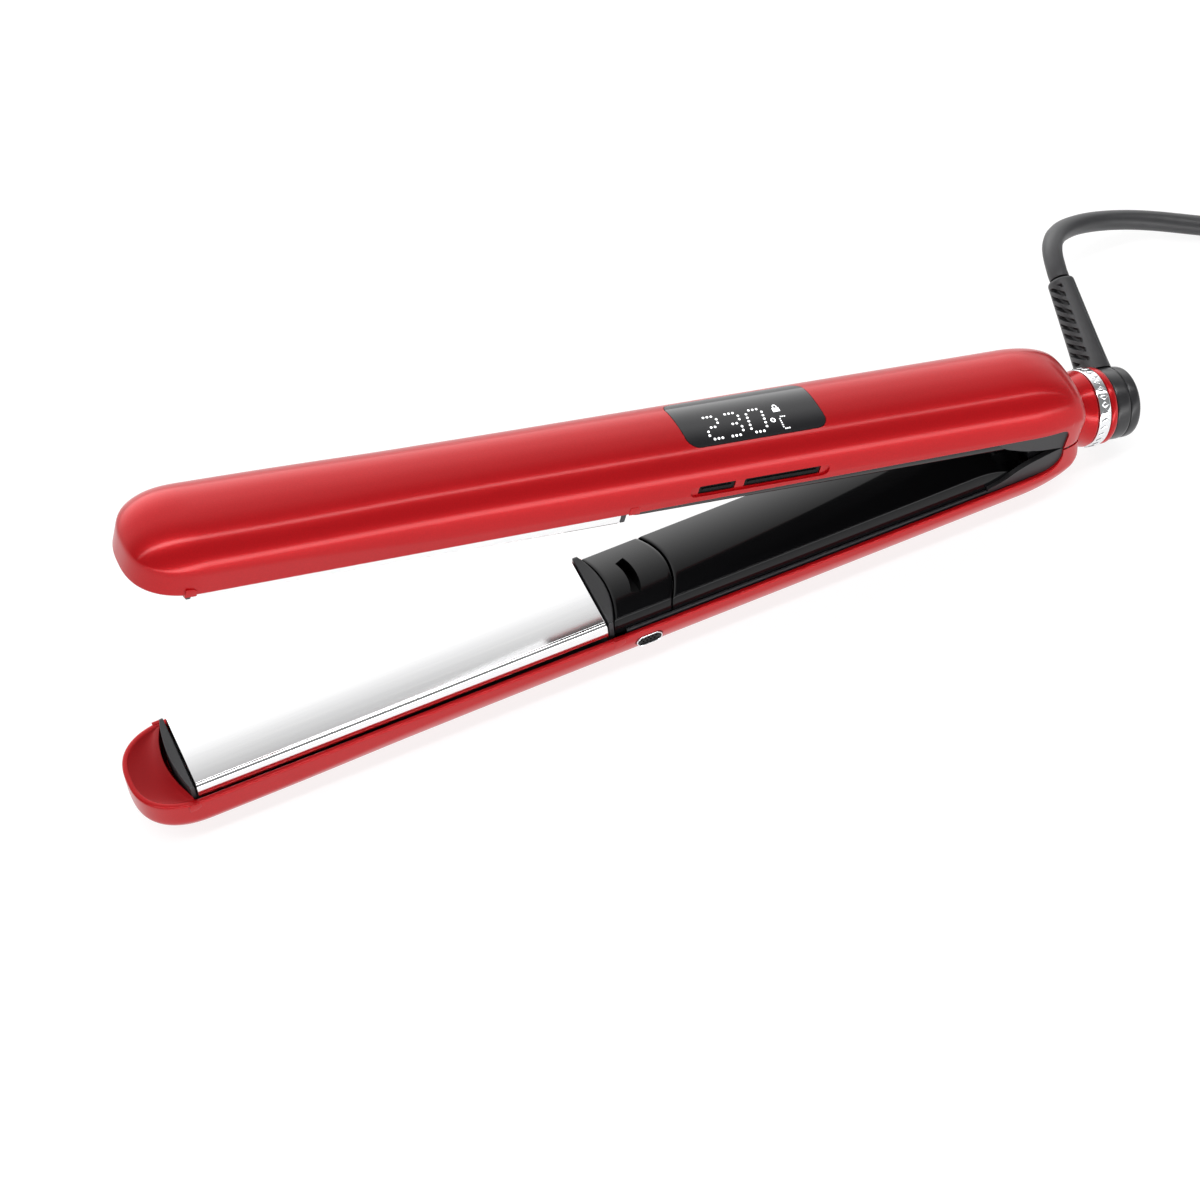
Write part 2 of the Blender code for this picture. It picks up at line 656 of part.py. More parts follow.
def make_lead(mats):
    curve = bpy.data.curves.new("power_cord", "CURVE")
    curve.dimensions = "3D"
    curve.bevel_depth = CORD_DIAMETER / 2 * MM
    curve.bevel_resolution = 2
    curve.use_fill_caps = True
    spline = curve.splines.new("POLY")
    points = smooth_route(LEAD_ROUTE, 2)
    spline.points.add(len(points) - 1)
    for slot, point in zip(spline.points, points):
        slot.co = (*(point * MM), 1.0)
    curve.materials.append(mats["rubber"])
    bpy.context.scene.collection.objects.link(bpy.data.objects.new("power_cord", curve))

    half = COIL_TURNS_WIDE * CORD_DIAMETER / 2
    inner = COIL_MID_RADIUS - half
    outer = COIL_MID_RADIUS + half
    low = 0.15
    high = COIL_HEIGHT
    round_off = 2.2
    ring = [(low, inner + round_off), (low, outer - round_off), (low + round_off, outer),
            (high - round_off, outer), (high, outer - round_off), (high, inner + round_off),
            (high - round_off, inner), (low + round_off, inner)]
    coil = turned(ring, 40, centre=(*COIL_CENTRE, 0.0), axis=2)
    new_object("cord_coil", *coil, mats["rubber"], None)

    x, y = COIL_CENTRE
    strap = [(inner - 2.0, 0.3), (inner - 1.0, 0.3), (inner - 1.0, high + 0.4),
             (outer + 0.4, high + 0.4), (outer + 0.4, 0.3), (outer + 1.4, 0.3),
             (outer + 1.4, high + 1.4), (inner - 2.0, high + 1.4)]
    outline = [(y + across, up) for across, up in strap]
    new_object("cord_tie", *prism(outline, x - 5, x + 5, 0), mats["matte"], None, smooth=False)
    make_plug(mats)


def make_plug(mats):
    """Flat two-pin plug lying beside the coil, with the short lead that joins them."""
    length, width, height = PLUG_BODY
    rings = []
    for share, wide, tall in ((0.0, 0.34, 0.6), (0.22, 0.5, 0.72), (0.5, 0.9, 0.9),
                              (0.72, 1.0, 1.0), (1.0, 0.94, 0.96)):
        ring = []
        for k in range(16):
            angle = 2 * math.pi * (k + 0.5) / 16
            across = math.copysign(abs(math.cos(angle)) ** 0.6, math.cos(angle))
            up = math.copysign(abs(math.sin(angle)) ** 0.6, math.sin(angle))
            ring.append((PLUG_X + length * share, PLUG_Y + width * wide / 2 * across,
                         PLUG_LIFT + height * tall / 2 * up))
        rings.append(ring)
    new_object("mains_plug", *loft(rings), mats["rubber"], None)
    tip = PLUG_X + length
    for label, shift in (("left", PLUG_PIN_SPACING / 2), ("right", -PLUG_PIN_SPACING / 2)):
        profile = [(tip + GAP, 1.9), (tip + 9.0, 1.9), (tip + 10.0, 2.0), (tip + 18.0, 2.0),
                   (tip + 19.0, 1.2)]
        pin = rod(profile, 12, centre=(0.0, PLUG_Y + shift, PLUG_LIFT), axis=0)
        new_object(f"plug_pin_{label}", *pin, mats["steel"], None)
    reach = (PLUG_X - GAP, PLUG_Y, PLUG_LIFT)
    rings = [lead_ring(PLUG_LEAD_START), lead_ring(reach)]
    new_object("plug_lead", *loft(rings), mats["rubber"], None)


def lead_ring(centre):
    """Upright ring of the lead's diameter, its face towards +X."""
    ring = []
    for k in range(10):
        angle = 2 * math.pi * k / 10
        ring.append((centre[0], centre[1] + CORD_DIAMETER / 2 * math.cos(angle),
                     centre[2] + CORD_DIAMETER / 2 * math.sin(angle)))
    return ring


def main():
    for item in list(bpy.data.objects):
        bpy.data.objects.remove(item)
    mats = make_materials()
    hinge = (HINGE_X, 0.0, PLATE_PLANE_HEIGHT)
    lower_hinge = add_pivot("lower_arm_pivot", hinge)
    upper_hinge = add_pivot("upper_arm_pivot", hinge, (0.0, OPEN_ANGLE, 0.0))
    back = (-HINGE_X, 0.0, 0.0)
    lower = add_pivot("lower_arm_frame", back, parent=lower_hinge)
    upper = add_pivot("upper_arm_frame", back, parent=upper_hinge)
    lower_plate = add_pivot("lower_plate_pivot", (0.0, 0.0, 0.0), parent=lower)
    upper_plate = add_pivot("upper_plate_pivot", (0.0, 0.0, 0.0), parent=upper)
    power = add_pivot("power_pivot", (0.0, 0.0, 0.0), parent=upper)
    face = -ARM_WIDTH / 2 + 0.5 - BUTTON_PROUD
    rocker = add_pivot("rocker_pivot", (sum(ROCKER_X) / 2, face + 1.5, BUTTON_DEPTH), parent=upper)
    swivel = add_pivot("swivel_pivot", (SWIVEL_X, 0.0, 0.0), parent=upper)

    make_lower_arm(lower, lower_plate, mats)
    make_upper_arm(upper, upper_plate, power, rocker, mats)
    make_hinge(upper, mats)
    make_neck(upper, mats)
    make_swivel(swivel, mats)
    make_lead(mats)


if __name__ == "__main__":
    main()
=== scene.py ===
"""Finished look of an open hair straightener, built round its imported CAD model.

Drawing functions work in millimetres in the frame of one arm: x runs back along the arm to the
hinge, y across it, and depth outwards from the plane where the plates meet. place() swings the
upper arm open about the hinge and turns everything into world metres.
"""
import json
import math

import bmesh
import bpy
import numpy as np
from mathutils import Matrix, Vector


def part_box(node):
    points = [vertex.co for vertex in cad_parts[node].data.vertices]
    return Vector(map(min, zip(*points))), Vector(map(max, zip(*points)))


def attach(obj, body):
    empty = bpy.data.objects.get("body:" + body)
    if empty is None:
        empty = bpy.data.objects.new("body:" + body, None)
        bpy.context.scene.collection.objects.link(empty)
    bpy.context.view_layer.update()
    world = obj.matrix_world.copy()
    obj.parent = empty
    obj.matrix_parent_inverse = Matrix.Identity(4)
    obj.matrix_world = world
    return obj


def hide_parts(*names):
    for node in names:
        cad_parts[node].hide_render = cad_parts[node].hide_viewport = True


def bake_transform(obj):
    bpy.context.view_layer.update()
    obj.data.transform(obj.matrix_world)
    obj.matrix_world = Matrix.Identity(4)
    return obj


bl_info = {
    "name": "Hair Straightener",
    "version": (1, 0, 0),
    "blender": (4, 5, 0),
    "location": "View3D > Sidebar > Straightener",
    "description": "Shells, plates, controls, hinge and lead of a two-arm hair straightener",
    "category": "Object",
}

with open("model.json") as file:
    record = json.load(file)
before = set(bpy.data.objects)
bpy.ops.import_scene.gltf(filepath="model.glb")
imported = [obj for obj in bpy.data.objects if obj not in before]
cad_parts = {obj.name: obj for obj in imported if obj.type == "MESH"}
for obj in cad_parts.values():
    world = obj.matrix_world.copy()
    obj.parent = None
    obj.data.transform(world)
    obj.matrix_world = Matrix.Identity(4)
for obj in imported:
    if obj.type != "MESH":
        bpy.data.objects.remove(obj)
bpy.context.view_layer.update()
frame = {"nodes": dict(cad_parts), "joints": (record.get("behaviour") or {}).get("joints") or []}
NODES = frame["nodes"]
HINGE = next(joint for joint in frame["joints"] if joint["name"] == "arm_hinge")
HINGE_X = HINGE["pos_m"][0] * 1000
PLATE_PLANE = HINGE["pos_m"][2] * 1000
OPEN_ANGLE = math.radians(HINGE["range_deg"][1])
UPPER = "upper_arm"
LOWER = "lower_arm"
MM = 0.001

# Arm shell, as in the CAD
NOSE_X = -72.0
NOSE_START = -54.0
NOSE_POWER = 2.5
TAIL_START = 176.0
TAIL_END = 194.3
TAIL_HALF_WIDTH = 10.4
TAIL_DEPTH = 10.6
SHELL_WALL = 1.5
CROWN_POWER = 2.58
MOUTH_END = 188.5
PLATE_REACH = 56.7
FLOOR_DEPTH = 9.4

# Covers and hinge
COVER_HALF_WIDTH = 11.65
OUTLET_REAR = 75.0
OUTLET_BOW = 4.0
BAR_END = 58.5
BAR_BOW = 3.0
BAR_HALF_WIDTH = 12.0
BARREL_RADIUS = 7.0
SIDE_CENTRE = 9.9
LENS_SHIFT = 1.25
SWIVEL_X = 209.2
RELIEF_RISE = math.radians(22.0)

# Lead: the route in metres, then the coil
LEAD_ROUTE = np.array([
    (0.2123, 0.0345, 0.0258), (0.2136, 0.0415, 0.0272), (0.2175, 0.0490, 0.0248),
    (0.2258, 0.0561, 0.0186), (0.2377, 0.0600, 0.0116), (0.2516, 0.0589, 0.0062),
    (0.2659, 0.0520, 0.0034), (0.2810, 0.0420, 0.00295), (0.2960, 0.0320, 0.00295),
    (0.3080, 0.0244, 0.00295), (0.3206, 0.0201, 0.00295),
])
COIL_CENTRE = (0.328, 0.062)
COIL_RADII = (0.0254, 0.0310, 0.0366)
COIL_LEVELS = (0.00295, 0.00855, 0.01415)
PLUG_ENTRY = (0.3597, 0.024, 0.00685)


# ---------------------------------------------------------------- settings

class StraightenerSizes(bpy.types.PropertyGroup):
    arm_width: bpy.props.FloatProperty(
        name="Arm width", description="Width of a shell across its side walls, in mm",
        default=28.8, min=20.0, max=40.0)
    shell_depth: bpy.props.FloatProperty(
        name="Shell depth", description="Depth of a shell's crown from the plate plane, in mm",
        default=19.3, min=12.0, max=30.0)
    plate_width: bpy.props.FloatProperty(
        name="Plate width", description="Width of a heated plate, in mm",
        default=25.0, min=15.0, max=32.0)
    temperature: bpy.props.StringProperty(
        name="Shown temperature", description="Digits lit on the display", default="230", maxlen=3)


class StraightenerColours(bpy.types.PropertyGroup):
    lacquer: bpy.props.FloatVectorProperty(
        name="Lacquer", description="Colour of the shells", subtype="COLOR",
        default=(0.42, 0.003, 0.006), min=0.0, max=1.0)
    gloss: bpy.props.FloatVectorProperty(
        name="Gloss parts", description="Colour of the covers and the display lens",
        subtype="COLOR", default=(0.004, 0.004, 0.0045), min=0.0, max=1.0)
    matte: bpy.props.FloatVectorProperty(
        name="Matte parts", description="Colour of the liners, bars and swivel",
        subtype="COLOR", default=(0.02, 0.02, 0.022), min=0.0, max=1.0)
    rubber: bpy.props.FloatVectorProperty(
        name="Rubber", description="Colour of the lead, its strain relief and the plug",
        subtype="COLOR", default=(0.03, 0.03, 0.032), min=0.0, max=1.0)


class StraightenerLead(bpy.types.PropertyGroup):
    diameter: bpy.props.FloatProperty(
        name="Lead diameter", description="Outer diameter of the mains lead",
        default=0.0056, min=0.003, max=0.01, subtype="DISTANCE")


def sizes():
    return bpy.context.scene.straightener_sizes


def colours():
    return bpy.context.scene.straightener_colours


# ---------------------------------------------------------------- materials

class Wire:
    """A number socket of a material. Arithmetic on it adds Math nodes."""

    def __init__(self, tree, socket):
        self.tree = tree
        self.socket = socket

    def math(self, operation, *values, clamp=False):
        node = self.tree.nodes.new("ShaderNodeMath")
        node.operation = operation
        node.use_clamp = clamp
        for slot, value in zip(node.inputs, values):
            connect(self.tree, slot, value)
        return Wire(self.tree, node.outputs[0])

    def __add__(self, other):
        return self.math("ADD", self, other)

    def __sub__(self, other):
        return self.math("SUBTRACT", self, other)

    def __rsub__(self, other):
        return self.math("SUBTRACT", other, self)

    def __mul__(self, other):
        return self.math("MULTIPLY", self, other)

    __radd__ = __add__
    __rmul__ = __mul__

    def ramp(self, low, high):
        """0 below low, 1 above high and straight between."""
        return self.math("MULTIPLY", self - low, 1.0 / (high - low), clamp=True)


def connect(tree, slot, value):
    if isinstance(value, Wire):
        tree.links.new(value.socket, slot)
    elif isinstance(value, bpy.types.NodeSocket):
        tree.links.new(value, slot)
    else:
        slot.default_value = value


class Finish:
    """A material on a Principled shader; patterns are in object coordinates, in metres."""

    def __init__(self, name, **constants):
        self.material = bpy.data.materials.new(name)
        self.material.use_nodes = True
        self.tree = self.material.node_tree
        self.shader = self.tree.nodes["Principled BSDF"]
        self.place = self.node("ShaderNodeTexCoord").outputs["Object"]
        for label, value in constants.items():
            self.feed(label.replace("_", " "), value)

    def node(self, kind, settings=(), **values):
        """New node: its settings first, then the values or links of its sockets."""
        made = self.tree.nodes.new(kind)
        for key, value in dict(settings).items():
            setattr(made, key, value)
        for label, value in values.items():
            connect(self.tree, made.inputs[label.replace("_", " ")], value)
        return made

    def feed(self, label, value):
        connect(self.tree, self.shader.inputs[label], value)

    def noise(self, scale, detail=2.0, stretch=(1.0, 1.0, 1.0)):
        """Noise from 0 to 1; stretch scales the axes first."""
        where = self.node("ShaderNodeMapping", Vector=self.place, Scale=stretch).outputs[0]
        made = self.node("ShaderNodeTexNoise", Vector=where, Scale=scale, Detail=detail)
        return Wire(self.tree, made.outputs["Fac"])

    def across(self):
        """The y coordinate, across the arms, in metres."""
        return Wire(self.tree, self.node("ShaderNodeSeparateXYZ", Vector=self.place).outputs["Y"])

    def blend(self, share, low, high):
        """Colour between low and high by share."""
        made = self.node("ShaderNodeMix", {"data_type": "RGBA"})
        connect(self.tree, made.inputs["Factor"], share)
        tints = [slot for slot in made.inputs if slot.type == "RGBA"]
        for slot, tint in zip(tints, (low, high)):
            connect(self.tree, slot, tint if isinstance(tint, bpy.types.NodeSocket)
                    else (*tint[:3], 1.0))
        return next(slot for slot in made.outputs if slot.type == "RGBA")

    def bump(self, height, distance, strength=1.0):
        made = self.node("ShaderNodeBump", Height=height, Distance=distance, Strength=strength)
        self.feed("Normal", made.outputs[0])


def tinted(colour, factor):
    return tuple(min(1.0, channel * factor) for channel in colour)


def red_lacquer():
    """Satin lacquer with fine metallic flake, a clear coat and slight waviness."""
    base = tuple(colours().lacquer)
    made = Finish("Red lacquer", Metallic=0.35, Coat_Weight=0.36, Coat_Roughness=0.13,
                  Specular_IOR_Level=0.12)
    flake = made.noise(2600.0, 1.0)
    drift = made.noise(9.0, 2.0)
    made.feed("Base Color", made.blend((flake * 0.5 + drift * 0.5).ramp(0.3, 0.7),
                                       tinted(base, 0.88), tinted(base, 1.1)))
    made.feed("Roughness", made.noise(60.0, 3.0) * 0.06 + flake * 0.04 + 0.27)
    made.bump(made.noise(900.0, 2.0), 0.00002, 0.25)
    return made.material


def tip_lacquer_painted_shade():
    """The same lacquer with no coat, on the dished faces between the arms, darkened there as painted shade."""
    base = tuple(colours().lacquer)
    made = Finish("Matte red with painted shade", Metallic=0.2, Specular_IOR_Level=0.15)
    grain = made.noise(1800.0, 2.0)
    # Painted shade: the lacquer is darkened to 0.55 to 0.72 of its colour where the faces sit between the
    # arms; the grain varies it at random.
    made.feed("Base Color", made.blend(grain, tinted(base, 0.55), tinted(base, 0.72)))
    made.feed("Roughness", made.noise(50.0, 3.0) * 0.08 + 0.4)
    made.bump(grain, 0.00003, 0.3)
    return made.material


def gloss_black():
    """Polished black plastic with faint smears that break up its reflections, and more clear coat towards the
    far side: a painted sheen.
    """
    base = tuple(colours().gloss)
    made = Finish("Gloss black", Coat_Roughness=0.03, Specular_IOR_Level=0.22)
    smear = made.noise(22.0, 4.0, (1.0, 2.5, 1.0))
    made.feed("Base Color", made.blend(smear, tinted(base, 0.8), tinted(base, 1.4)))
    made.feed("Roughness", smear.ramp(0.35, 0.75) * 0.07 + 0.05)
    # Painted sheen: the clear coat rises from none at y = -6 mm to 0.9 at y = 11 mm, so the far side of the
    # covers reflects more brightly, standing in for how the light falls.
    made.feed("Coat Weight", made.across().ramp(-0.006, 0.011) * 0.9)
    made.bump(made.noise(160.0, 1.0), 0.00001, 0.15)
    return made.material


def lens_black():
    """Display window: deep black under a hard clear layer."""
    made = Finish("Display window", Coat_Weight=0.35, Coat_Roughness=0.03,
                  Specular_IOR_Level=0.4)
    depth = made.noise(40.0, 2.0)
    made.feed("Base Color", made.blend(depth, (0.004, 0.004, 0.005), (0.011, 0.011, 0.013)))
    made.feed("Roughness", depth * 0.05 + 0.08)
    return made.material


def key_black():
    """Satin key plastic, duller than the covers."""
    made = Finish("Key plastic", Specular_IOR_Level=0.06)
    grain = made.noise(2400.0, 2.0)
    made.feed("Base Color", made.blend(grain, (0.004, 0.004, 0.004), (0.009, 0.009, 0.009)))
    made.feed("Roughness", grain * 0.1 + 0.22)
    made.bump(grain, 0.00002, 0.2)
    return made.material


def matte_black():
    """Moulded dark plastic with a fine spark-eroded grain."""
    base = tuple(colours().matte)
    made = Finish("Matte dark plastic", Specular_IOR_Level=0.45)
    grain = made.noise(3800.0, 2.0)
    made.feed("Base Color", made.blend(grain, tinted(base, 0.8), tinted(base, 1.25)))
    made.feed("Roughness", grain * 0.14 + 0.38)
    made.bump(grain, 0.00004, 0.35)
    return made.material


def swivel_black():
    """Smoother dark plastic with turning marks round the swivel."""
    base = tuple(colours().matte)
    made = Finish("Satin dark plastic", Specular_IOR_Level=0.5)
    marks = made.noise(300.0, 3.0, (6.0, 1.0, 1.0))
    made.feed("Base Color", made.blend(marks, tinted(base, 0.65), tinted(base, 1.0)))
    made.feed("Roughness", marks * 0.1 + 0.26)
    made.bump(marks, 0.00002, 0.2)
    return made.material


def lead_rubber():
    """Soft sheath: dull, slightly mottled, with a fine skin."""
    base = tuple(colours().rubber)
    made = Finish("Lead rubber", Specular_IOR_Level=0.45)
    mottle = made.noise(450.0, 3.0)
    made.feed("Base Color", made.blend(mottle, tinted(base, 0.8), tinted(base, 1.35)))
    made.feed("Roughness", mottle * 0.15 + 0.36)
    made.bump(made.noise(2500.0, 2.0), 0.00003, 0.3)
    return made.material


def polished_plate():
    """Mirror-polished metal with faint lengthwise polishing streaks."""
    made = Finish("Polished plate", Metallic=1.0)
    streak = made.noise(14.0, 4.0, (1.0, 70.0, 70.0))
    made.feed("Base Color", made.blend(streak, (0.88, 0.88, 0.89), (0.96, 0.96, 0.96)))
    made.feed("Roughness", streak * 0.07 + 0.08)
    made.bump(streak, 0.000004, 0.2)
    return made.material


def bright_chrome():
    made = Finish("Bright chrome", Metallic=1.0)
    haze = made.noise(120.0, 3.0)
    made.feed("Base Color", made.blend(haze, (0.78, 0.79, 0.81), (0.9, 0.91, 0.92)))
    made.feed("Roughness", haze * 0.06 + 0.07)
    return made.material


def plain_steel():
    made = Finish("Plain steel", Metallic=1.0)
    scratch = made.noise(90.0, 4.0, (1.0, 12.0, 12.0))
    made.feed("Base Color", made.blend(scratch, (0.5, 0.5, 0.51), (0.68, 0.68, 0.69)))
    made.feed("Roughness", scratch * 0.2 + 0.2)
    made.bump(scratch, 0.00001, 0.3)
    return made.material


def circuit_board():
    """Green board, its tracks a fine stepped pattern."""
    made = Finish("Circuit board", Coat_Weight=0.3, Coat_Roughness=0.2)
    tracks = made.noise(260.0, 0.0, (1.0, 2.0, 1.0)).ramp(0.49, 0.52)
    made.feed("Base Color", made.blend(tracks, (0.01, 0.11, 0.05), (0.02, 0.2, 0.09)))
    made.feed("Roughness", tracks * 0.12 + 0.4)
    return made.material


def silicone():
    made = Finish("Silicone", Subsurface_Weight=0.1)
    cloud = made.noise(140.0, 3.0)
    made.feed("Base Color", made.blend(cloud, (0.42, 0.17, 0.1), (0.55, 0.26, 0.16)))
    made.feed("Roughness", cloud * 0.15 + 0.5)
    return made.material


def heater_ceramic():
    made = Finish("Heater ceramic")
    grain = made.noise(1200.0, 3.0)
    made.feed("Base Color", made.blend(grain, (0.66, 0.64, 0.58), (0.82, 0.8, 0.75)))
    made.feed("Roughness", grain * 0.15 + 0.6)
    made.bump(grain, 0.00005, 0.4)
    return made.material


def lit_white():
    """Lit dots, their glow varying a little from place to place."""
    made = Finish("Lit dots", Roughness=0.4, Emission_Strength=1.4)
    glow = made.noise(700.0, 1.0)
    made.feed("Base Color", made.blend(glow, (0.75, 0.75, 0.75), (0.85, 0.85, 0.85)))
    made.feed("Emission Color", made.blend(glow, (0.8, 0.82, 0.85), (0.95, 0.96, 0.97)))
    return made.material


def pale_floor():
    made = Finish("Pale floor", Specular_IOR_Level=0.2)
    shade = made.noise(3.0, 2.0)
    made.feed("Base Color", made.blend(shade, (0.19, 0.19, 0.19), (0.21, 0.21, 0.21)))
    made.feed("Roughness", shade * 0.1 + 0.75)
    made.feed("Emission Color", (1.0, 1.0, 1.0, 1.0))
    made.feed("Emission Strength", 0.84)
    return made.material


MAKERS = {
    "red_lacquer": red_lacquer, "tip_lacquer_painted_shade": tip_lacquer_painted_shade, "gloss_black": gloss_black,
    "lens_black": lens_black, "key_black": key_black, "matte_black": matte_black, "swivel_black": swivel_black,
    "lead_rubber": lead_rubber, "polished_plate": polished_plate, "lit_white": lit_white,
    "bright_chrome": bright_chrome, "spring_steel": plain_steel, "pale_floor": pale_floor,
    "circuit_board": circuit_board, "silicone": silicone, "heater_ceramic": heater_ceramic,
}
MADE = {}


def finish(name):
    if name not in MADE:
        MADE[name] = MAKERS[name]()
    return MADE[name]


# ---------------------------------------------------------------- surfaces

def place(points, arm):
    """Arm frame (x, y, depth) in mm to world metres; the upper arm turns about the hinge."""
    x, y, depth = np.moveaxis(np.asarray(points, float), -1, 0)
    if arm == UPPER:
        along = x - HINGE_X
        turned_x = HINGE_X + along * math.cos(OPEN_ANGLE) + depth * math.sin(OPEN_ANGLE)
        height = PLATE_PLANE - along * math.sin(OPEN_ANGLE) + depth * math.cos(OPEN_ANGLE)
        x = turned_x
    else:
        height = PLATE_PLANE - depth
    return np.stack([x, y, height], -1) * MM


def grid_faces(rows, columns, wrap_rows=False, wrap_columns=False, start=0):
    """Quads of a rows by columns grid, numbered row by row from start."""
    i = np.arange(rows if wrap_rows else rows - 1)[:, None]
    j = np.arange(columns if wrap_columns else columns - 1)[None, :]
    after, beyond = (i + 1) % rows, (j + 1) % columns
    quad = np.stack([i * columns + j, i * columns + beyond,
                     after * columns + beyond, after * columns + j], -1)
    return quad.reshape(-1, 4) + start


def loft(rings, closed=False):
    """Points and faces through rings (count, points, 3); flat ends unless closed."""
    rings = np.asarray(rings, float)
    count, size = rings.shape[:2]
    points = rings.reshape(-1, 3)
    faces = grid_faces(count, size, wrap_rows=closed, wrap_columns=True).tolist()
    if not closed:
        faces.append(list(range(size)))
        faces.append(list(range((count - 1) * size, count * size)))
    return points, faces


def new_piece(name, shape, material, sharp=38.0):
    """Object from world-metre points and faces, doubles merged and faces turned outwards."""
    points, faces = shape
    mesh = bpy.data.meshes.new(name)
    mesh.from_pydata(np.asarray(points, float).tolist(), [], faces)
    edit = bmesh.new()
    edit.from_mesh(mesh)
    bmesh.ops.remove_doubles(edit, verts=edit.verts, dist=2e-6)
    bmesh.ops.dissolve_degenerate(edit, edges=edit.edges, dist=1e-6)
    bmesh.ops.recalc_face_normals(edit, faces=edit.faces)
    edit.to_mesh(mesh)
    edit.free()
    mesh.shade_smooth()
    mesh.set_sharp_from_angle(angle=math.radians(sharp))
    mesh.materials.append(finish(material))
    item = bpy.data.objects.new(name, mesh)
    bpy.context.scene.collection.objects.link(item)
    return item


def show(item, body, slot, *replaced):
    """The piece rides on a body and stands for CAD nodes, whose parts are hidden; slot is not used."""
    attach(item, body)
    if replaced:
        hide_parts(*replaced)
    return item


def merged(*shapes):
    points, faces, start = [], [], 0
    for more_points, more_faces in shapes:
        points.append(np.asarray(more_points, float))
        faces += [[v + start for v in face] for face in more_faces]
        start += len(more_points)
    return np.concatenate(points), faces


def carve(item, shape, operation="DIFFERENCE", sharp=38.0):
    """Boolean with a closed shape, written into the mesh."""
    tool = new_piece("carving_tool", shape, "matte_black")
    modifier = item.modifiers.new("carve", "BOOLEAN")
    modifier.operation = operation
    modifier.object = tool
    modifier.solver = "EXACT"
    bpy.context.view_layer.update()
    graph = bpy.context.evaluated_depsgraph_get()
    mesh = bpy.data.meshes.new_from_object(item.evaluated_get(graph))
    item.modifiers.clear()
    item.data = mesh
    while len(mesh.materials) > 1:
        mesh.materials.pop()
    mesh.shade_smooth()
    mesh.set_sharp_from_angle(angle=math.radians(sharp))
    bpy.data.objects.remove(tool)


def arc(centre, radius, start, end, steps):
    """Points on a circle between two angles in degrees, (steps + 1, 2)."""
    angle = np.radians(np.linspace(start, end, steps + 1))
    return np.stack([centre[0] + radius * np.cos(angle), centre[1] + radius * np.sin(angle)], -1)


def obround(centre, length, width, steps=10):
    reach = (length - width) / 2
    return np.concatenate([arc((centre[0] + reach, centre[1]), width / 2, -90, 90, steps),
                           arc((centre[0] - reach, centre[1]), width / 2, 90, 270, steps)])


def standing(outline, low, high, arm, axis=1):
    """Prism of an outline: axis 1 pushes (x, depth) across y, axis 2 pushes (x, y) in depth."""
    outline = np.asarray(outline, float)
    rings = [np.insert(outline, axis, level, axis=1) for level in (low, high)]
    points, faces = loft(rings)
    return place(points, arm), faces


def rounded_bar(outline, low, high, arm, radius, axis=1, steps=4):
    """Prism whose two end faces have rounded rims: rings shrink along a quarter circle."""
    outline = np.asarray(outline, float)
    forward = np.roll(outline, -1, 0) - np.roll(outline, 1, 0)
    forward /= np.linalg.norm(forward, axis=1)[:, None]
    inward = np.stack([-forward[:, 1], forward[:, 0]], -1)
    turn = np.linspace(0.0, math.pi / 2, steps + 1)
    rings = []
    for level, sign in ((low, 1.0), (high, -1.0)):
        for angle in (turn if sign > 0 else turn[::-1]):
            ring = outline + inward * radius * (1 - math.sin(angle))
            rings.append(np.insert(ring, axis, level + sign * radius * (1 - math.cos(angle)), 1))
    points, faces = loft(rings)
    return place(points, arm), faces


def turned(profile, arm, steps=96, centre=(0.0, 0.0), axis="x"):
    """Closed profile of (along, radius) turned about a line along x, or along y at centre."""
    profile = np.asarray(profile, float)
    angle = np.linspace(0.0, 2 * math.pi, steps, endpoint=False)[:, None]
    along = np.broadcast_to(profile[:, 0], (steps, len(profile)))
    first = profile[:, 1] * np.cos(angle)
    second = profile[:, 1] * np.sin(angle)
    if axis == "x":
        rings = np.stack([along, first, second], -1)
    else:
        rings = np.stack([first + centre[0], along, second + centre[1]], -1)
    points, faces = loft(rings, closed=True)
    return place(points, arm), faces


def softened(profile, passes=2):
    """Open profile with corners eased: each pass cuts every corner at its quarter points."""
    points = np.asarray(profile, float)
    for _ in range(passes):
        near = points[:-1] * 0.75 + points[1:] * 0.25
        far = points[:-1] * 0.25 + points[1:] * 0.75
        middle = np.stack([near, far], 1).reshape(-1, points.shape[1])
        points = np.concatenate([points[:1], middle, points[-1:]])
    return points


# ---------------------------------------------------------------- arm shells

def edge_depth(x):
    """Depth of the side wall's free edge."""
    return 4.5 + 0.0123 * (np.asarray(x, float) + 57.0)


def crease_depth(x):
    """Depth where the upright wall turns into the crown: 12 mm at the nose, 8.8 at the middle."""
    x = np.asarray(x, float)
    return 8.6 + 3.2 / (1 + np.exp((x + 12.0) / 12.0)) + 0.004 * np.clip(x, 0, 200)


def mouth_depth(x, corner):
    """Edge depth along the wall: straight, a round corner, then up to the plate plane."""
    x = np.asarray(x, float)
    reach = np.clip(x - (MOUTH_END - corner), 0.0, corner)
    rise = corner - np.sqrt(corner ** 2 - reach ** 2)
    return np.where(x > MOUTH_END + 0.01, 0.22, edge_depth(x) - rise)


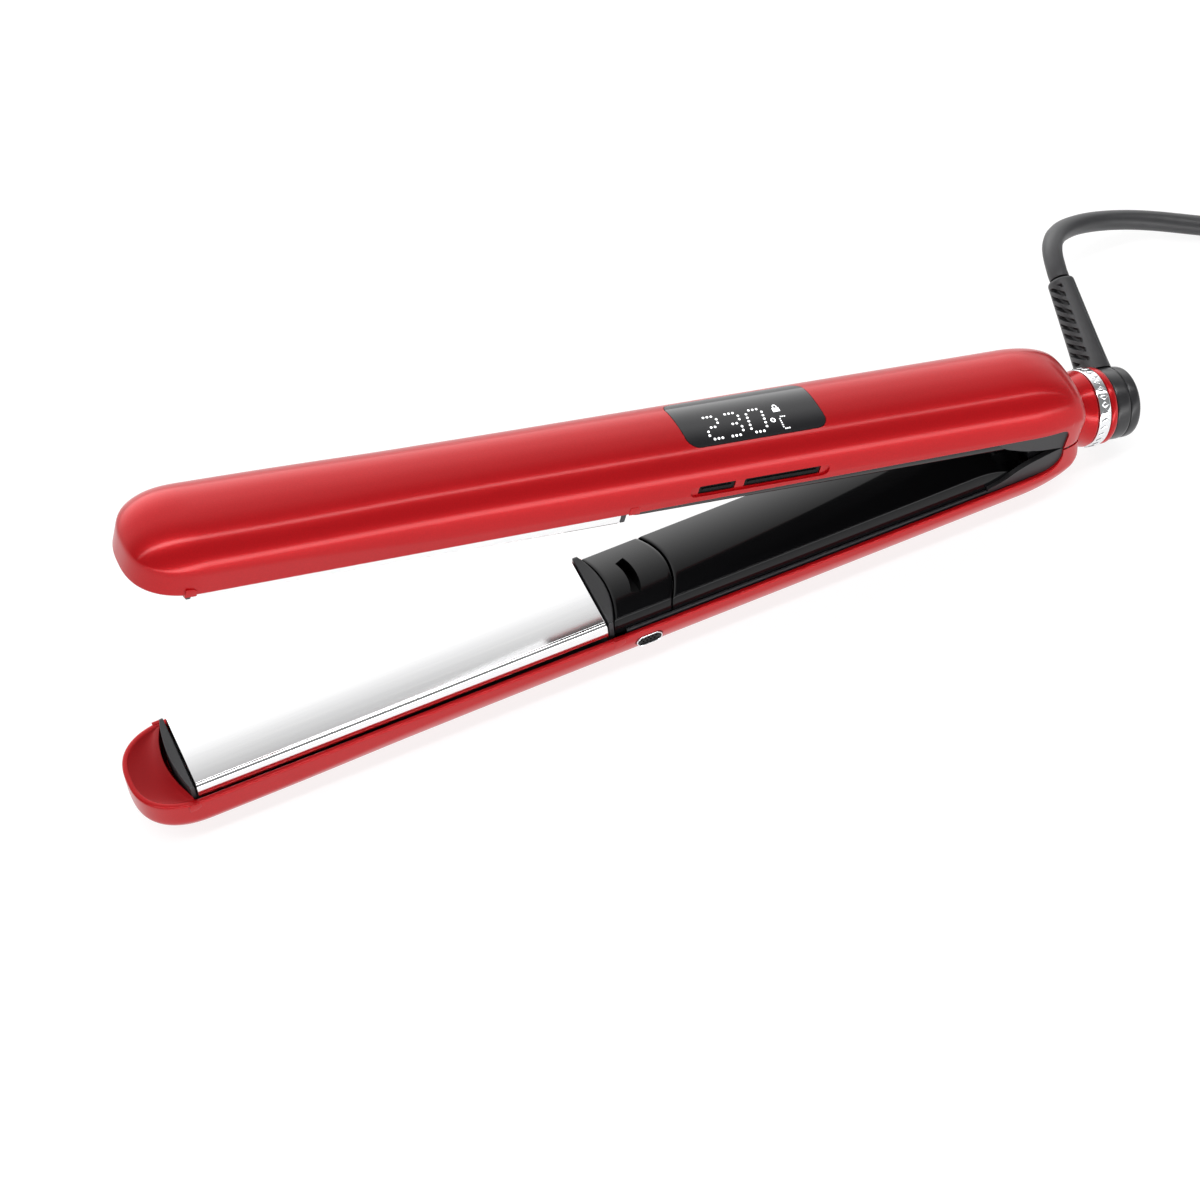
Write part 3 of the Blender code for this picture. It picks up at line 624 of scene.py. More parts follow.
def outline_columns(inset, corner):
    """Columns round one half of the arm, tail to nose tip.

    Returns outline x, half width, spine x, crown depth, crease depth and edge depth. The tail is
    a quarter ellipse in plan and depth, the nose a superellipse of power 2.5.
    """
    half = sizes().arm_width / 2
    crown = sizes().shell_depth
    end = (MOUTH_END - TAIL_START) / (TAIL_END - TAIL_START)
    share = np.concatenate([np.sin(np.radians(np.linspace(90.0, 46.0, 14))), [end + 0.003],
                            end - (1 - np.cos(np.linspace(0, math.pi / 2, 36))) * 0.5,
                            np.linspace(0.15, 0.0, 5)])
    tail_x = TAIL_START + (TAIL_END - TAIL_START) * share
    drop = np.sqrt(1 - share ** 2)
    tail_w = TAIL_HALF_WIDTH + (half - TAIL_HALF_WIDTH) * drop
    tail_d = TAIL_DEPTH + (crown - TAIL_DEPTH) * drop
    straight = np.linspace(TAIL_START, NOSE_START, 70)[1:]
    turn = np.linspace(0.0, math.pi / 2, 41)[1:]
    turn = turn + 0.14 * np.sin(4 * turn) / 4
    power = 2 / NOSE_POWER
    length = NOSE_START - NOSE_X
    nose_x = NOSE_START - (length - inset) * np.sin(turn) ** power
    nose_w = (half - inset) * np.clip(np.cos(turn), 0, 1) ** power
    x = np.concatenate([tail_x, straight, nose_x])
    width = np.concatenate([tail_w - inset, np.full(len(straight), half - inset), nose_w])
    spine = np.concatenate([tail_x, straight, np.full(len(nose_x), NOSE_START)])
    depth = np.concatenate([tail_d, np.full(len(straight) + len(nose_x), crown)]) - inset
    crease = np.minimum(crease_depth(x), depth * 0.62)
    edge = mouth_depth(np.concatenate([tail_x, straight, nose_x]), corner)
    return x, width, spine, depth, crease, edge


def crown_start(x):
    """Share of the superellipse's half width where the crown leaves the wall."""
    return 0.945 + 0.035 * np.clip((np.asarray(x, float) + 50.0) / 60.0, 0, 1)


def crown_rows(columns, steps):
    """Rows from the crease to the spine: a superellipse that leaves the wall at a soft angle."""
    x, width, spine, depth, crease, _ = columns
    start = crown_start(spine)
    begin = np.arccos(start ** (CROWN_POWER / 2))
    alpha = begin + (math.pi / 2 - begin) * np.linspace(0, 1, steps)[:, None] ** 1.3
    across = np.clip(np.cos(alpha), 0, 1) ** (2 / CROWN_POWER) / start
    level = np.sin(alpha) ** (2 / CROWN_POWER)
    level = (level - level[0]) / (level[-1] - level[0])
    px = spine + (x - spine) * across
    py = width * across
    pd = crease + (depth - crease) * level
    return np.stack([px, py + 0 * px, pd + 0 * px], -1)


def wall_rows(columns, steps, first):
    """Rows up the wall from first (a depth for each column) to the crease."""
    x, width, _, _, crease, _ = columns
    share = np.linspace(0.0, 1.0, steps)[:, None]
    depth = first + (crease - first) * share
    return np.stack([x + 0 * depth, width + 0 * depth, depth], -1)


def eased(rows, passes, keep):
    """Smooths points along the rows' direction, leaving the first keep rows and the last."""
    for _ in range(passes):
        middle = rows[:-2] * 0.25 + rows[1:-1] * 0.5 + rows[2:] * 0.25
        rows = np.concatenate([rows[:keep], middle[keep - 1:], rows[-1:]])
    return rows


def shell_shape(corner):
    """Closed wall of an arm: inner face, rounded free edge, then outer face, both halves."""
    outer = outline_columns(0.0, corner)
    inner = outline_columns(SHELL_WALL, corner)
    edge = outer[5]
    outside = np.concatenate([wall_rows(outer, 12, edge + 0.45), crown_rows(outer, 26)[1:]])
    outside = eased(outside, 4, 2)
    floor = np.minimum(inner[4], inner[3])
    inside = np.concatenate([wall_rows(inner, 6, edge + 0.35)[:-1],
                             crown_rows((*inner[:4], floor, edge), 12)])
    quarter = np.radians(np.array([15.0, 38.0, 62.0, 85.0]))[:, None]
    reach = 0.45
    lip_out = lerp_columns(outer, inner, (1 - np.cos(quarter)) * reach / SHELL_WALL,
                           edge + reach * (1 - np.sin(quarter)))
    lip_in = lerp_columns(outer, inner, 1 - (1 - np.cos(quarter)) * 0.35 / SHELL_WALL,
                          edge + 0.35 * (1 - np.sin(quarter)))
    rows = np.concatenate([inside[::-1], lip_in[:], lip_out[::-1], outside])
    count, columns = rows.shape[:2]
    mirror = rows * np.array([1.0, -1.0, 1.0])
    both = np.concatenate([rows, mirror[:, ::-1][:, 1:]], axis=1)
    wide = both.shape[1]
    faces = grid_faces(count, wide).tolist()
    for column in (0, wide - 1):
        index = np.arange(count) * wide + column
        faces += cap_strip(index, len(inside), len(outside))
    return both.reshape(-1, 3), faces


def lerp_columns(outer, inner, share, depth):
    """Rows between the outer and inner wall at the given shares and depths."""
    x = outer[0] + (inner[0] - outer[0]) * share
    width = outer[1] + (inner[1] - outer[1]) * share
    return np.stack([x, width, depth + 0 * x], -1)


def cap_strip(index, inside, outside):
    """Faces that close the wall's end between its inner and outer rows."""
    inner = index[:inside][::-1]
    outer = index[len(index) - outside:]
    middle = index[inside:len(index) - outside]
    faces = [list(middle) + [outer[0], inner[0]]]
    steps = max(inside, outside)
    a = np.round(np.linspace(0, inside - 1, steps)).astype(int)
    b = np.round(np.linspace(0, outside - 1, steps)).astype(int)
    for k in range(steps - 1):
        ring = [inner[a[k]], inner[a[k + 1]], outer[b[k + 1]], outer[b[k]]]
        faces.append(list(dict.fromkeys(int(v) for v in ring)))
    return [face for face in faces if len(face) > 2]


def lens_outline(grow):
    """Rounded window on the crown, both ends slightly slanted."""
    half, front, rear, slant = 8.5 + grow, 74.6 - grow, 114.7 + grow, 0.5
    corner = 3.2 + grow
    points = np.concatenate([
        arc((rear - corner, half - corner), corner, 0, 90, 8),
        arc((front + corner, half - corner), corner, 90, 180, 8),
        arc((front + corner, corner - half), corner, 180, 270, 8),
        arc((rear - corner, corner - half), corner, 270, 360, 8)])
    points[:, 0] -= slant * points[:, 1] / half
    points[:, 1] += LENS_SHIFT
    return points


def flat_tool(outline, arm, low, high, axis):
    """Closed cutter from an outline."""
    return standing(outline, low, high, arm, axis)


def tail_cutters():
    """Plane and bore that let the open arms meet behind the hinge, in the lower arm's frame."""
    slope = math.tan(OPEN_ANGLE)
    first, last = MOUTH_END - 1.0, TAIL_END + 4.0
    wedge = [(first, -5.0), (first, (first - HINGE_X) * slope + 0.2),
             (last, (last - HINGE_X) * slope + 0.2), (last, -5.0)]
    bore = [(186.0, 0.01), (186.0, 5.9), (TAIL_END, 5.9), (TAIL_END, 10.6), (210.0, 10.6),
            (210.0, 0.01)]
    points, faces = turned(bore, UPPER, 64)
    return flat_tool(wedge, LOWER, -30.0, 30.0, 1), (points, faces)


class STRAIGHTENER_OT_shells(bpy.types.Operator):
    """Red shells of both arms, with the window, key recess and vent openings"""
    bl_idname = "straightener.shells"
    bl_label = "Arm Shells"

    def execute(self, context):
        points, faces = shell_shape(3.0)
        upper = new_piece("upper_body", (place(points, UPPER), faces), "red_lacquer")
        carve(upper, flat_tool(lens_outline(0.0), UPPER, 14.0, 24.0, 2))
        carve(upper, flat_tool(obround((94.0, SIDE_CENTRE), 40.0, 3.6), UPPER, -16.0, -13.85, 1))
        for first, last in ((76.4, 86.8), (89.4, 111.4)):
            carve(upper, flat_tool(key_outline(first, last, 1.35), UPPER, -18.0, -11.0, 1))
        bore = [(186.0, 0.01), (186.0, 5.8), (200.0, 5.8), (200.0, 0.01)]
        carve(upper, turned(bore, UPPER, 64))
        show(upper, UPPER, "red_lacquer", "upper_shell")

        points, faces = shell_shape(6.0)
        lower = new_piece("lower_body", (place(points, LOWER), faces), "red_lacquer")
        for cutter in tail_cutters():
            carve(lower, cutter)
        carve(lower, flat_tool(obround((67.2, SIDE_CENTRE), 7.9, 4.1), LOWER, -16.0, -11.0, 1))
        show(lower, LOWER, "red_lacquer", "lower_shell")
        return {"FINISHED"}


def key_outline(first, last, half):
    """Key opening with small rounded corners."""
    corner = 0.35
    low, high = SIDE_CENTRE - half, SIDE_CENTRE + half
    return np.concatenate([
        arc((last - corner, high - corner), corner, 0, 90, 3),
        arc((first + corner, high - corner), corner, 90, 180, 3),
        arc((first + corner, low + corner), corner, 180, 270, 3),
        arc((last - corner, low + corner), corner, 270, 360, 3)])


# ---------------------------------------------------------------- pillows between the arms

def pillow(front, rear, half_width, top, bottom, arm, columns=24, rows=40):
    """Closed slab between curves front(y) and rear(y): depth top(x, y, u, v) over a floor.

    u runs 0 to 1 along x and v -1 to 1 across; v is spaced closer near both sides.
    """
    v = np.sin(np.linspace(-math.pi / 2, math.pi / 2, rows + 1))[:, None]
    u = (0.5 - 0.5 * np.cos(np.linspace(0.0, math.pi, columns + 1)))[None, :]
    y = half_width * v + 0 * u
    x = front(y) + (rear(y) - front(y)) * u
    upper = np.stack([x, y, top(x, y, u, v)], -1)
    lower = np.stack([x, y, bottom + 0 * x if np.isscalar(bottom) else bottom(x)], -1)
    count = upper[..., 0].size
    faces = grid_faces(rows + 1, columns + 1).tolist()
    faces += grid_faces(rows + 1, columns + 1, start=count)[:, ::-1].tolist()
    index = np.arange(count).reshape(rows + 1, columns + 1)
    border = np.concatenate([index[0, :-1], index[:-1, -1], index[-1, :0:-1], index[:0:-1, 0]])
    beyond = np.roll(border, -1)
    faces += np.stack([border, beyond, beyond + count, border + count], -1).tolist()
    points = np.concatenate([upper.reshape(-1, 3), lower.reshape(-1, 3)])
    return place(points, arm), faces


def nose_front(y, inset):
    """x of the nose outline at y: a superellipse of power 2.5."""
    half = sizes().arm_width / 2 - inset
    share = np.clip(np.abs(y) / half, 0, 1)
    return NOSE_START - (NOSE_START - NOSE_X - inset) * (1 - share ** NOSE_POWER) ** (
        1 / NOSE_POWER)


def bow(x, amount, half=COVER_HALF_WIDTH):
    """Curve x + amount (1 - (y / half)^2)."""
    def curve(y):
        return x + amount * (1 - (y / half) ** 2)
    return curve


def rim_round(u, v, along, across):
    """How far a pillow's rim has dropped: 0 inside, 1 at the border, on a quarter circle."""
    ends = np.clip(1 - np.minimum(u, 1 - u) / along, 0, 1)
    sides = np.clip(1 - (1 - np.abs(v)) / across, 0, 1)
    reach = np.clip(np.sqrt(ends ** 2 + sides ** 2), 0, 1)
    return 1 - np.sqrt(np.clip(1 - reach ** 2, 0, 1))


def make_tip_face(arm, prefix):
    """Dished face inside the nose rim."""
    def top(x, y, u, v):
        ahead = np.clip((NOSE_START - x) / (NOSE_START - NOSE_X - 1.3), 0, 1)
        rim = ahead ** NOSE_POWER + (np.abs(y) / 12.8) ** NOSE_POWER
        scoop = edge_depth(x) + 0.06 + 1.1 * np.clip(1 - rim, 0, 1) ** 0.75
        return scoop - 3.2 * np.clip(1 - rim, 0, 1) ** 0.5 * u ** 4
    shape = pillow(lambda y: nose_front(y, SHELL_WALL - 0.15),
                   bow(-BAR_END, -BAR_BOW - 0.0, BAR_HALF_WIDTH), 12.75, top, 9.0, arm)
    item = new_piece(f"{prefix}_tip_face", shape, "tip_lacquer_painted_shade", 50.0)
    show(item, arm, "red_lacquer")


def make_tabs(arm, prefix):
    """Small square snap tabs on both walls at each end of the plate, just proud of them."""
    shapes = []
    face = sizes().arm_width / 2
    for middle in (-58.6, 59.0):
        low = float(edge_depth(middle)) - 0.12
        outline = [(middle - 1.5, low), (middle + 1.5, low), (middle + 1.5, low + 1.7),
                   (middle + 0.5, low + 2.5), (middle - 1.5, low + 2.5)]
        for side in (-1, 1):
            ends = sorted((side * (face - 1.0), side * (face + 0.16)))
            shapes.append(rounded_bar(outline, *ends, arm, 0.14))
    item = new_piece(f"{prefix}_snap_tabs", merged(*shapes), "red_lacquer", 50.0)
    show(item, arm, "red_lacquer")


def make_bars(arm, prefix):
    """End bars: flat dark tops 0.4 mm under the plate plane, with an eased rim."""
    straight = 57.3
    for label, sign in (("front", -1), ("rear", 1)):
        flat = lambda y, at=sign * straight: at + 0 * y
        curved = bow(sign * (BAR_END if sign > 0 else 58.3),
                     sign * (BAR_BOW if sign > 0 else 1.7), BAR_HALF_WIDTH)
        first, last = (curved, flat) if sign < 0 else (flat, curved)
        def top(x, y, u, v):
            return 0.4 + 0.5 * rim_round(u, v, 0.12, 0.05)
        shape = pillow(first, last, BAR_HALF_WIDTH, top, 8.3, arm, 16, 36)
        item = new_piece(f"{prefix}_{label}_end_bar", shape, "matte_black")
        show(item, arm, "matte_black", f"{prefix}_{label}_bar")


def cover_level(x, y):
    """Nearly flat face just under the plate plane, its sides turned down on a quarter ellipse."""
    share = np.clip(np.abs(y) / COVER_HALF_WIDTH, 0, 1)
    side = np.clip((share - 0.93) / 0.07, 0, 1)
    return 0.3 + 1.1 * share ** 2 + (edge_depth(x) - 1.6) * (1 - np.sqrt(1 - side ** 2))


class STRAIGHTENER_OT_covers(bpy.types.Operator):
    """Gloss covers, matte liners and end bars between the arms"""
    bl_idname = "straightener.covers"
    bl_label = "Covers, Liners and Bars"

    def execute(self, context):
        for arm, prefix in ((UPPER, "upper"), (LOWER, "lower")):
            make_tip_face(arm, prefix)
            make_tabs(arm, prefix)
            make_bars(arm, prefix)
            make_liner(arm, prefix)
            make_cheeks(arm, prefix)
        bottom = lambda x: edge_depth(x) + 0.9

        def outlet_top(x, y, u, v):
            return cover_level(x, y) + 0.5 * rim_round(u, v, 0.05, 0.0001)
        shape = pillow(bow(BAR_END + 0.3, BAR_BOW, BAR_HALF_WIDTH), bow(OUTLET_REAR, OUTLET_BOW),
                       COVER_HALF_WIDTH, outlet_top, bottom, LOWER, 40, 100)
        outlet = new_piece("outlet_lid", shape, "gloss_black")
        slot_shape = np.concatenate([arc((54.0, 0.0), 16.4, -22, 22, 20),
                                     arc((54.0, 0.0), 13.6, 22, -22, 20)])
        carve(outlet, standing(slot_shape, -1.0, 14.0, LOWER, 2))
        show(outlet, LOWER, "gloss_black", "outlet_cover")

        def lower_top(x, y, u, v):
            dip = np.clip((x - 164.0) / 14.0, 0, 1) ** 2
            level = cover_level(x, y)
            return level + (edge_depth(x) - level) * dip + 0.4 * rim_round(u, v, 0.008, 0.0001)
        shape = pillow(bow(OUTLET_REAR + 0.5, OUTLET_BOW), lambda y: 179.8 + 0 * y,
                       COVER_HALF_WIDTH, lower_top, lambda x: edge_depth(x) + 2.2, LOWER, 90,
                       100)
        show(new_piece("lower_long_cover", shape, "gloss_black"), LOWER, "gloss_black",
             "lower_cover")

        def upper_top(x, y, u, v):
            return cover_level(x, y) + 2.0 * rim_round(u, v, 0.03, 0.0001)
        shape = pillow(bow(BAR_END + 0.3, BAR_BOW, BAR_HALF_WIDTH), lambda y: 177.8 + 0 * y,
                       COVER_HALF_WIDTH, upper_top, bottom, UPPER, 90, 100)
        show(new_piece("upper_long_cover", shape, "gloss_black"), UPPER, "gloss_black",
             "upper_cover")
        return {"FINISHED"}


def make_liner(arm, prefix):
    """U-shaped lip: a rounded section carried along the edge line."""
    section = np.array([(-12.6, 0.9), (-12.6, -0.35), (-12.45, -0.52), (-12.1, -0.55),
                        (-11.85, -0.5), (-11.75, -0.3), (-11.75, 1.3), (11.75, 1.3),
                        (11.75, -0.3), (11.85, -0.5), (12.1, -0.55), (12.45, -0.52),
                        (12.6, -0.35), (12.6, 0.9), (12.4, 2.0), (-12.4, 2.0)])
    x = np.linspace(62.0, 176.5, 24)[:, None]
    rings = np.stack([x + 0 * section[:, 0], section[:, 0] + 0 * x,
                      edge_depth(x) + section[:, 1]], -1)
    points, faces = loft(rings)
    item = new_piece(f"{prefix}_lip", (place(points, arm), faces), "matte_black")
    show(item, arm, "matte_black", f"{prefix}_liner")


def make_cheeks(arm, prefix):
    """Side panels at the back of the mouth, inside the shell walls, up to the plate plane."""
    x = np.linspace(MOUTH_END + 2.0, 166.5, 60)
    knots = ([166.5, 170.0, 176.0, 182.0, 190.5], [5.9, 3.4, 1.5, 0.55, 0.3]) if arm == UPPER else (
        [166.5, 168.0, 171.0, 174.0, 176.0, 179.0, 183.0, 186.0, 190.5],
        [5.9, 5.7, 5.0, 3.7, 2.8, 1.9, 1.2, 0.7, 0.35])
    start = np.interp(x, *knots)
    start[2:-2] = (start[:-4] + start[1:-3] + start[2:-2] + start[3:-1] + start[4:]) / 5
    bottom = edge_depth(x) + 1.8
    outline = np.concatenate([np.stack([x, start], -1), np.stack([x, bottom], -1)[::-1]])
    for label, low, high in (("near", -12.75, -11.3), ("far", 11.3, 12.75)):
        item = new_piece(f"{prefix}_cheek_{label}", standing(outline, low, high, arm),
                         "matte_black")
        show(item, arm, "matte_black")


# ---------------------------------------------------------------- plates

class STRAIGHTENER_OT_plates(bpy.types.Operator):
    """Polished heated plates with folded, stepped long edges"""
    bl_idname = "straightener.plates"
    bl_label = "Heated Plates"

    def execute(self, context):
        half = sizes().plate_width / 2 - 0.08
        bend = arc((half - 1.35, 1.69), 1.35, -90, 0, 9)
        side = np.concatenate([[(half - 1.5, 0.2), (half - 1.4, 0.22), (half - 1.36, 0.33)], bend,
                               [(half, 4.9), (half - 0.8, 4.9), (half - 0.8, 2.3)]])
        mirror = side[::-1] * np.array([-1.0, 1.0])
        section = np.concatenate([side, mirror])
        x = np.array([-PLATE_REACH, -PLATE_REACH + 0.12, -PLATE_REACH + 0.35,
                      PLATE_REACH - 0.35, PLATE_REACH - 0.12, PLATE_REACH])[:, None]
        drop = np.array([0.35, 0.12, 0.0, 0.0, 0.12, 0.35])[:, None]
        depth = section[:, 1] + np.where(section[:, 1] < 2.0, drop, 0.0)
        rings = np.stack([x + 0 * depth, section[:, 0] + 0 * x, depth], -1)
        points, faces = loft(rings)
        for arm, prefix in ((UPPER, "upper"), (LOWER, "lower")):
            item = new_piece(f"{prefix}_heated_plate", (place(points, arm), faces),
                             "polished_plate", 30.0)
            show(item, f"{prefix}_plate_float", "polished_plate", f"{prefix}_plate")
        return {"FINISHED"}


# ---------------------------------------------------------------- controls

DIGITS = {
    "0": ["01110", "10001", "10001", "10001", "10001", "10001", "01110"],
    "1": ["0010", "0110", "0010", "0010", "0010", "0010", "0111"],
    "2": ["1110", "0001", "0001", "0110", "1000", "1000", "0111"],
    "3": ["1110", "0001", "0001", "0110", "0001", "0001", "1110"],
    "4": ["1001", "1001", "1001", "1111", "0001", "0001", "0001"],
    "5": ["1111", "1000", "1000", "1110", "0001", "0001", "1110"],
    "6": ["0111", "1000", "1000", "1110", "1001", "1001", "0110"],
    "7": ["1111", "0001", "0001", "0010", "0010", "0100", "0100"],
    "8": ["0110", "1001", "1001", "0110", "1001", "1001", "0110"],
    "9": ["0110", "1001", "1001", "0111", "0001", "0001", "1110"],
}
DEGREE_C = [(0, 0.6, 0), (0.6, 0.3, 0), (0.6, -0.3, 0), (0, -0.6, 0), (-0.6, -0.3, 0),
            (-0.6, 0.3, 0)]


def crown_depth(x, y):
    """Outer depth of the shell's crown over the point (x, y) of its straight part."""
    half = sizes().arm_width / 2
    start = crown_start(x)
    share = np.clip(np.abs(y) / half, 0, 1) * start
    level = (1 - share ** CROWN_POWER) ** (1 / CROWN_POWER)
    base = (1 - start ** CROWN_POWER) ** (1 / CROWN_POWER)
    crease = crease_depth(x)
    return crease + (sizes().shell_depth - crease) * (level - base) / (1 - base)


def dot_prisms(centres, radius, low, high, sides=10):
    """Flat discs standing on the crown: rings at two depths round each centre."""
    centres = np.asarray(centres, float)
    angle = np.linspace(0, 2 * math.pi, sides, endpoint=False)
    ring = np.stack([np.cos(angle), np.sin(angle)], -1) * radius
    flat = centres[:, None, :] + ring[None]
    level = crown_depth(flat[..., 0], flat[..., 1])
    points = np.stack([np.dstack([flat, level + low]), np.dstack([flat, level + high])], 1)
    faces = []
    for k in range(len(centres)):
        start = k * 2 * sides
        faces += grid_faces(2, sides, wrap_columns=True, start=start).tolist()
        faces += [list(range(start, start + sides)),
                  list(range(start + sides, start + 2 * sides))]
    return points.reshape(-1, 3), faces


class STRAIGHTENER_OT_controls(bpy.types.Operator):
    """Display window with lit figures, push keys and the side vent"""
    bl_idname = "straightener.controls"
    bl_label = "Display, Keys and Vent"

    def execute(self, context):
        points, faces = pillow(lambda y: 72.0 + 0 * y, lambda y: 116.0 + 0 * y, 11.0,
                               lambda x, y, u, v: crown_depth(x, y) - 0.03, 14.6, UPPER, 60, 60)
        lens = new_piece("display_window", (points, [face[::-1] for face in faces]), "lens_black")
        carve(lens, flat_tool(lens_outline(-0.14), UPPER, 13.0, 24.0, 2), "INTERSECT")
        show(lens, UPPER, "gloss_black", "display_lens")

        pitch = 1.12
        dots = []
        for figure, left in zip(sizes().temperature, (82.5, 88.7, 94.4)):
            for row, line in enumerate(DIGITS[figure]):
                for column, lit in enumerate(line):
                    if lit == "1":
                        dots.append((left + column * pitch - 0.16 * row, 1.6 - row * 1.2))
        small = [(100.5 + 0.55 * math.cos(a), -2.9 + 0.55 * math.sin(a))
                 for a in np.linspace(0, 2 * math.pi, 8, endpoint=False)]
        small += [(104.1 - 0.55 * k, -2.2) for k in range(3)]
        small += [(102.5, -2.85 - 0.62 * k) for k in range(5)]
        small += [(102.9 + 0.55 * k, -5.9) for k in range(3)]
        lock = [(102.0 + 0.33 * i, -0.2 + 0.33 * j) for i in range(6) for j in range(4)]
        lock += [(102.9 + 0.55 * math.cos(a), 1.05 + 0.95 * math.sin(a))
                 for a in np.linspace(0, math.pi, 7)]
        shape = merged(dot_prisms(dots, 0.34, -0.1, 0.03), dot_prisms(small, 0.2, -0.1, 0.03, 8),
                       dot_prisms(lock, 0.18, -0.1, 0.03, 8))
        points, faces = shape
        lit = new_piece("display_figures", (place(points, UPPER), faces), "lit_white")
        show(lit, UPPER, "gloss_black")

        face = -sizes().arm_width / 2
        for name, first, last, body, node in (
                ("power_key_cap", 76.8, 86.4, "power_key", "power_button"),
                ("temperature_key_cap", 89.9, 110.9, "temperature_key", "temperature_rocker")):
            cap = rounded_bar(key_outline(first, last, 1.15)[::-1], face + 0.8, face + 2.3,
                              UPPER, 0.25)
            rib = rounded_bar(key_outline(first + 0.6, last - 0.6, 0.36)[::-1], face + 0.5,
                              face + 1.0, UPPER, 0.12)
            show(new_piece(name, merged(cap, rib), "key_black"), body, "gloss_black", node)

        ring = [np.insert(obround((67.2, SIDE_CENTRE), 7.3 - 2 * cut, 3.5 - 2 * cut), 1, level, 1)
                for cut, level in ((0.0, -13.2), (0.0, -14.5), (0.06, -14.7), (0.17, -14.78),
                                   (0.28, -14.7), (0.36, -14.3), (0.36, -13.2))]
        points, faces = loft(np.stack(ring), closed=True)
        show(new_piece("side_vent_rim", (place(points, LOWER), faces), "bright_chrome"), LOWER,
             "bright_chrome", "vent_bezel")
        grille = new_piece("side_vent_mesh", standing(
            obround((67.2, SIDE_CENTRE), 6.5, 2.7), -14.35, -13.2, LOWER), "gloss_black")
        holes = []
        for column in range(5):
            for row in range(2):
                spot = (65.0 + 1.05 * column + 0.5 * row, SIDE_CENTRE - 0.45 + 0.9 * row)
                if abs(spot[0] - 67.2) < 2.5:
                    holes.append(standing(arc(spot, 0.33, 0, 324, 9), -15.0, -13.6, LOWER))
        carve(grille, merged(*holes))
        show(grille, LOWER, "gloss_black", "vent_grille")
        return {"FINISHED"}


# ---------------------------------------------------------------- hinge, neck and swivel

class STRAIGHTENER_OT_neck(bpy.types.Operator):
    """Hinge barrels, red neck, chrome band, swivel drum and strain relief"""
    bl_idname = "straightener.neck"
    bl_label = "Hinge, Neck and Swivel"

    def execute(self, context):
        curve = arc((HINGE_X, 0.0), BARREL_RADIUS, 180, 315, 40)
        outline = np.concatenate([[(HINGE_X - BARREL_RADIUS, 7.2)], curve, [(190.9, 7.2)]])
        for label, low, high in (("near", -10.9, -4.3), ("far", 4.3, 10.9)):
            show(new_piece(f"barrel_{label}", rounded_bar(outline, low, high, UPPER, 0.5),
                           "gloss_black"), UPPER, "gloss_black", f"hinge_barrel_{label}")
        lug = np.concatenate([arc((HINGE_X, 0.0), 4.8, -180, 30, 40),
                              [(HINGE_X, 14.3), (HINGE_X - 4.8, 14.3)]])
        show(new_piece("hinge_lug", rounded_bar(lug, -3.9, 0.4, LOWER, 0.4), "matte_black"),
             LOWER, "matte_black", "lower_knuckle")

        neck = softened([(194.4, 5.6), (194.4, 9.5), (194.7, 9.95), (197.2, 9.85),
                         (199.4, 10.2), (200.4, 10.45), (200.55, 9.8), (200.55, 7.0)])
        inner = [(206.8, 7.0), (206.8, 4.3), (191.4, 4.3), (191.4, 5.4), (194.4, 5.4)]
        show(new_piece("red_collar", turned(np.concatenate([neck, inner]), UPPER),
                       "red_lacquer"), UPPER, "red_lacquer", "neck")
        band = softened([(200.75, 7.3), (200.75, 10.25), (201.0, 10.5), (202.6, 10.55),
                         (204.2, 10.5), (204.45, 10.25), (204.45, 7.3)])
        show(new_piece("polished_band", merged(turned(band, UPPER, 128), band_lozenges()),
                       "bright_chrome"), UPPER, "bright_chrome", "chrome_band")
        ring = softened([(204.7, 7.3), (204.7, 10.0), (205.1, 10.35), (206.0, 10.4),
                         (206.7, 10.1), (206.9, 9.6), (206.9, 7.3)])
        show(new_piece("red_ring", turned(ring, UPPER), "red_lacquer"), UPPER, "red_lacquer",
             "neck_ring")
        drum = np.concatenate([[(197.0, 0.01), (197.0, 3.9), (207.2, 3.9)], softened([
            (207.2, 4.2), (207.2, 9.4), (207.45, 9.65), (209.0, 9.7), (210.9, 9.7),
            (211.3, 9.45), (211.3, 0.01)], 1)])
        show(new_piece("swivel_body", turned(drum, UPPER), "swivel_black"), "cord_swivel",
             "matte_black", "swivel_drum")
        cap = np.concatenate([softened([
            (211.35, 0.01), (211.35, 9.1), (211.6, 9.55), (212.4, 9.62), (213.6, 9.55),
            (214.5, 9.2), (214.88, 8.4), (214.9, 7.6), (214.7, 7.2), (214.7, 0.01)], 2)])
        show(new_piece("swivel_cap", turned(cap, UPPER), "swivel_black"), "cord_swivel",
             "matte_black", "swivel_end_cap")
        make_relief()
        return {"FINISHED"}


def band_lozenges():
    """Raised pointed lozenges evenly round the band: a plain milled border."""
    count, sides = 30, 4
    angle = np.linspace(0, 2 * math.pi, sides, endpoint=False)
    spot = np.linspace(0, 2 * math.pi, count, endpoint=False)
    level = np.array([10.3, 10.66, 10.78])[:, None, None]
    size = np.array([1.0, 1.0, 0.72])[:, None, None]
    x = 202.6 + 1.25 * size * np.sin(angle) + 0 * spot[None, :, None]
    around = spot[None, :, None] + 0.85 * np.cos(angle) * size / 10.6
    x, around, radius = np.broadcast_arrays(x, around, level)
    points = np.stack([x, radius * np.cos(around), radius * np.sin(around)], -1)
    points = np.moveaxis(points, 1, 0)
    faces = []
    for k in range(count):
        start = k * 3 * sides
        faces += grid_faces(3, sides, wrap_columns=True, start=start).tolist()
        faces += [list(range(start, start + sides)),
                  list(range(start + 2 * sides, start + 3 * sides))]
    return place(points.reshape(-1, 3), UPPER), faces


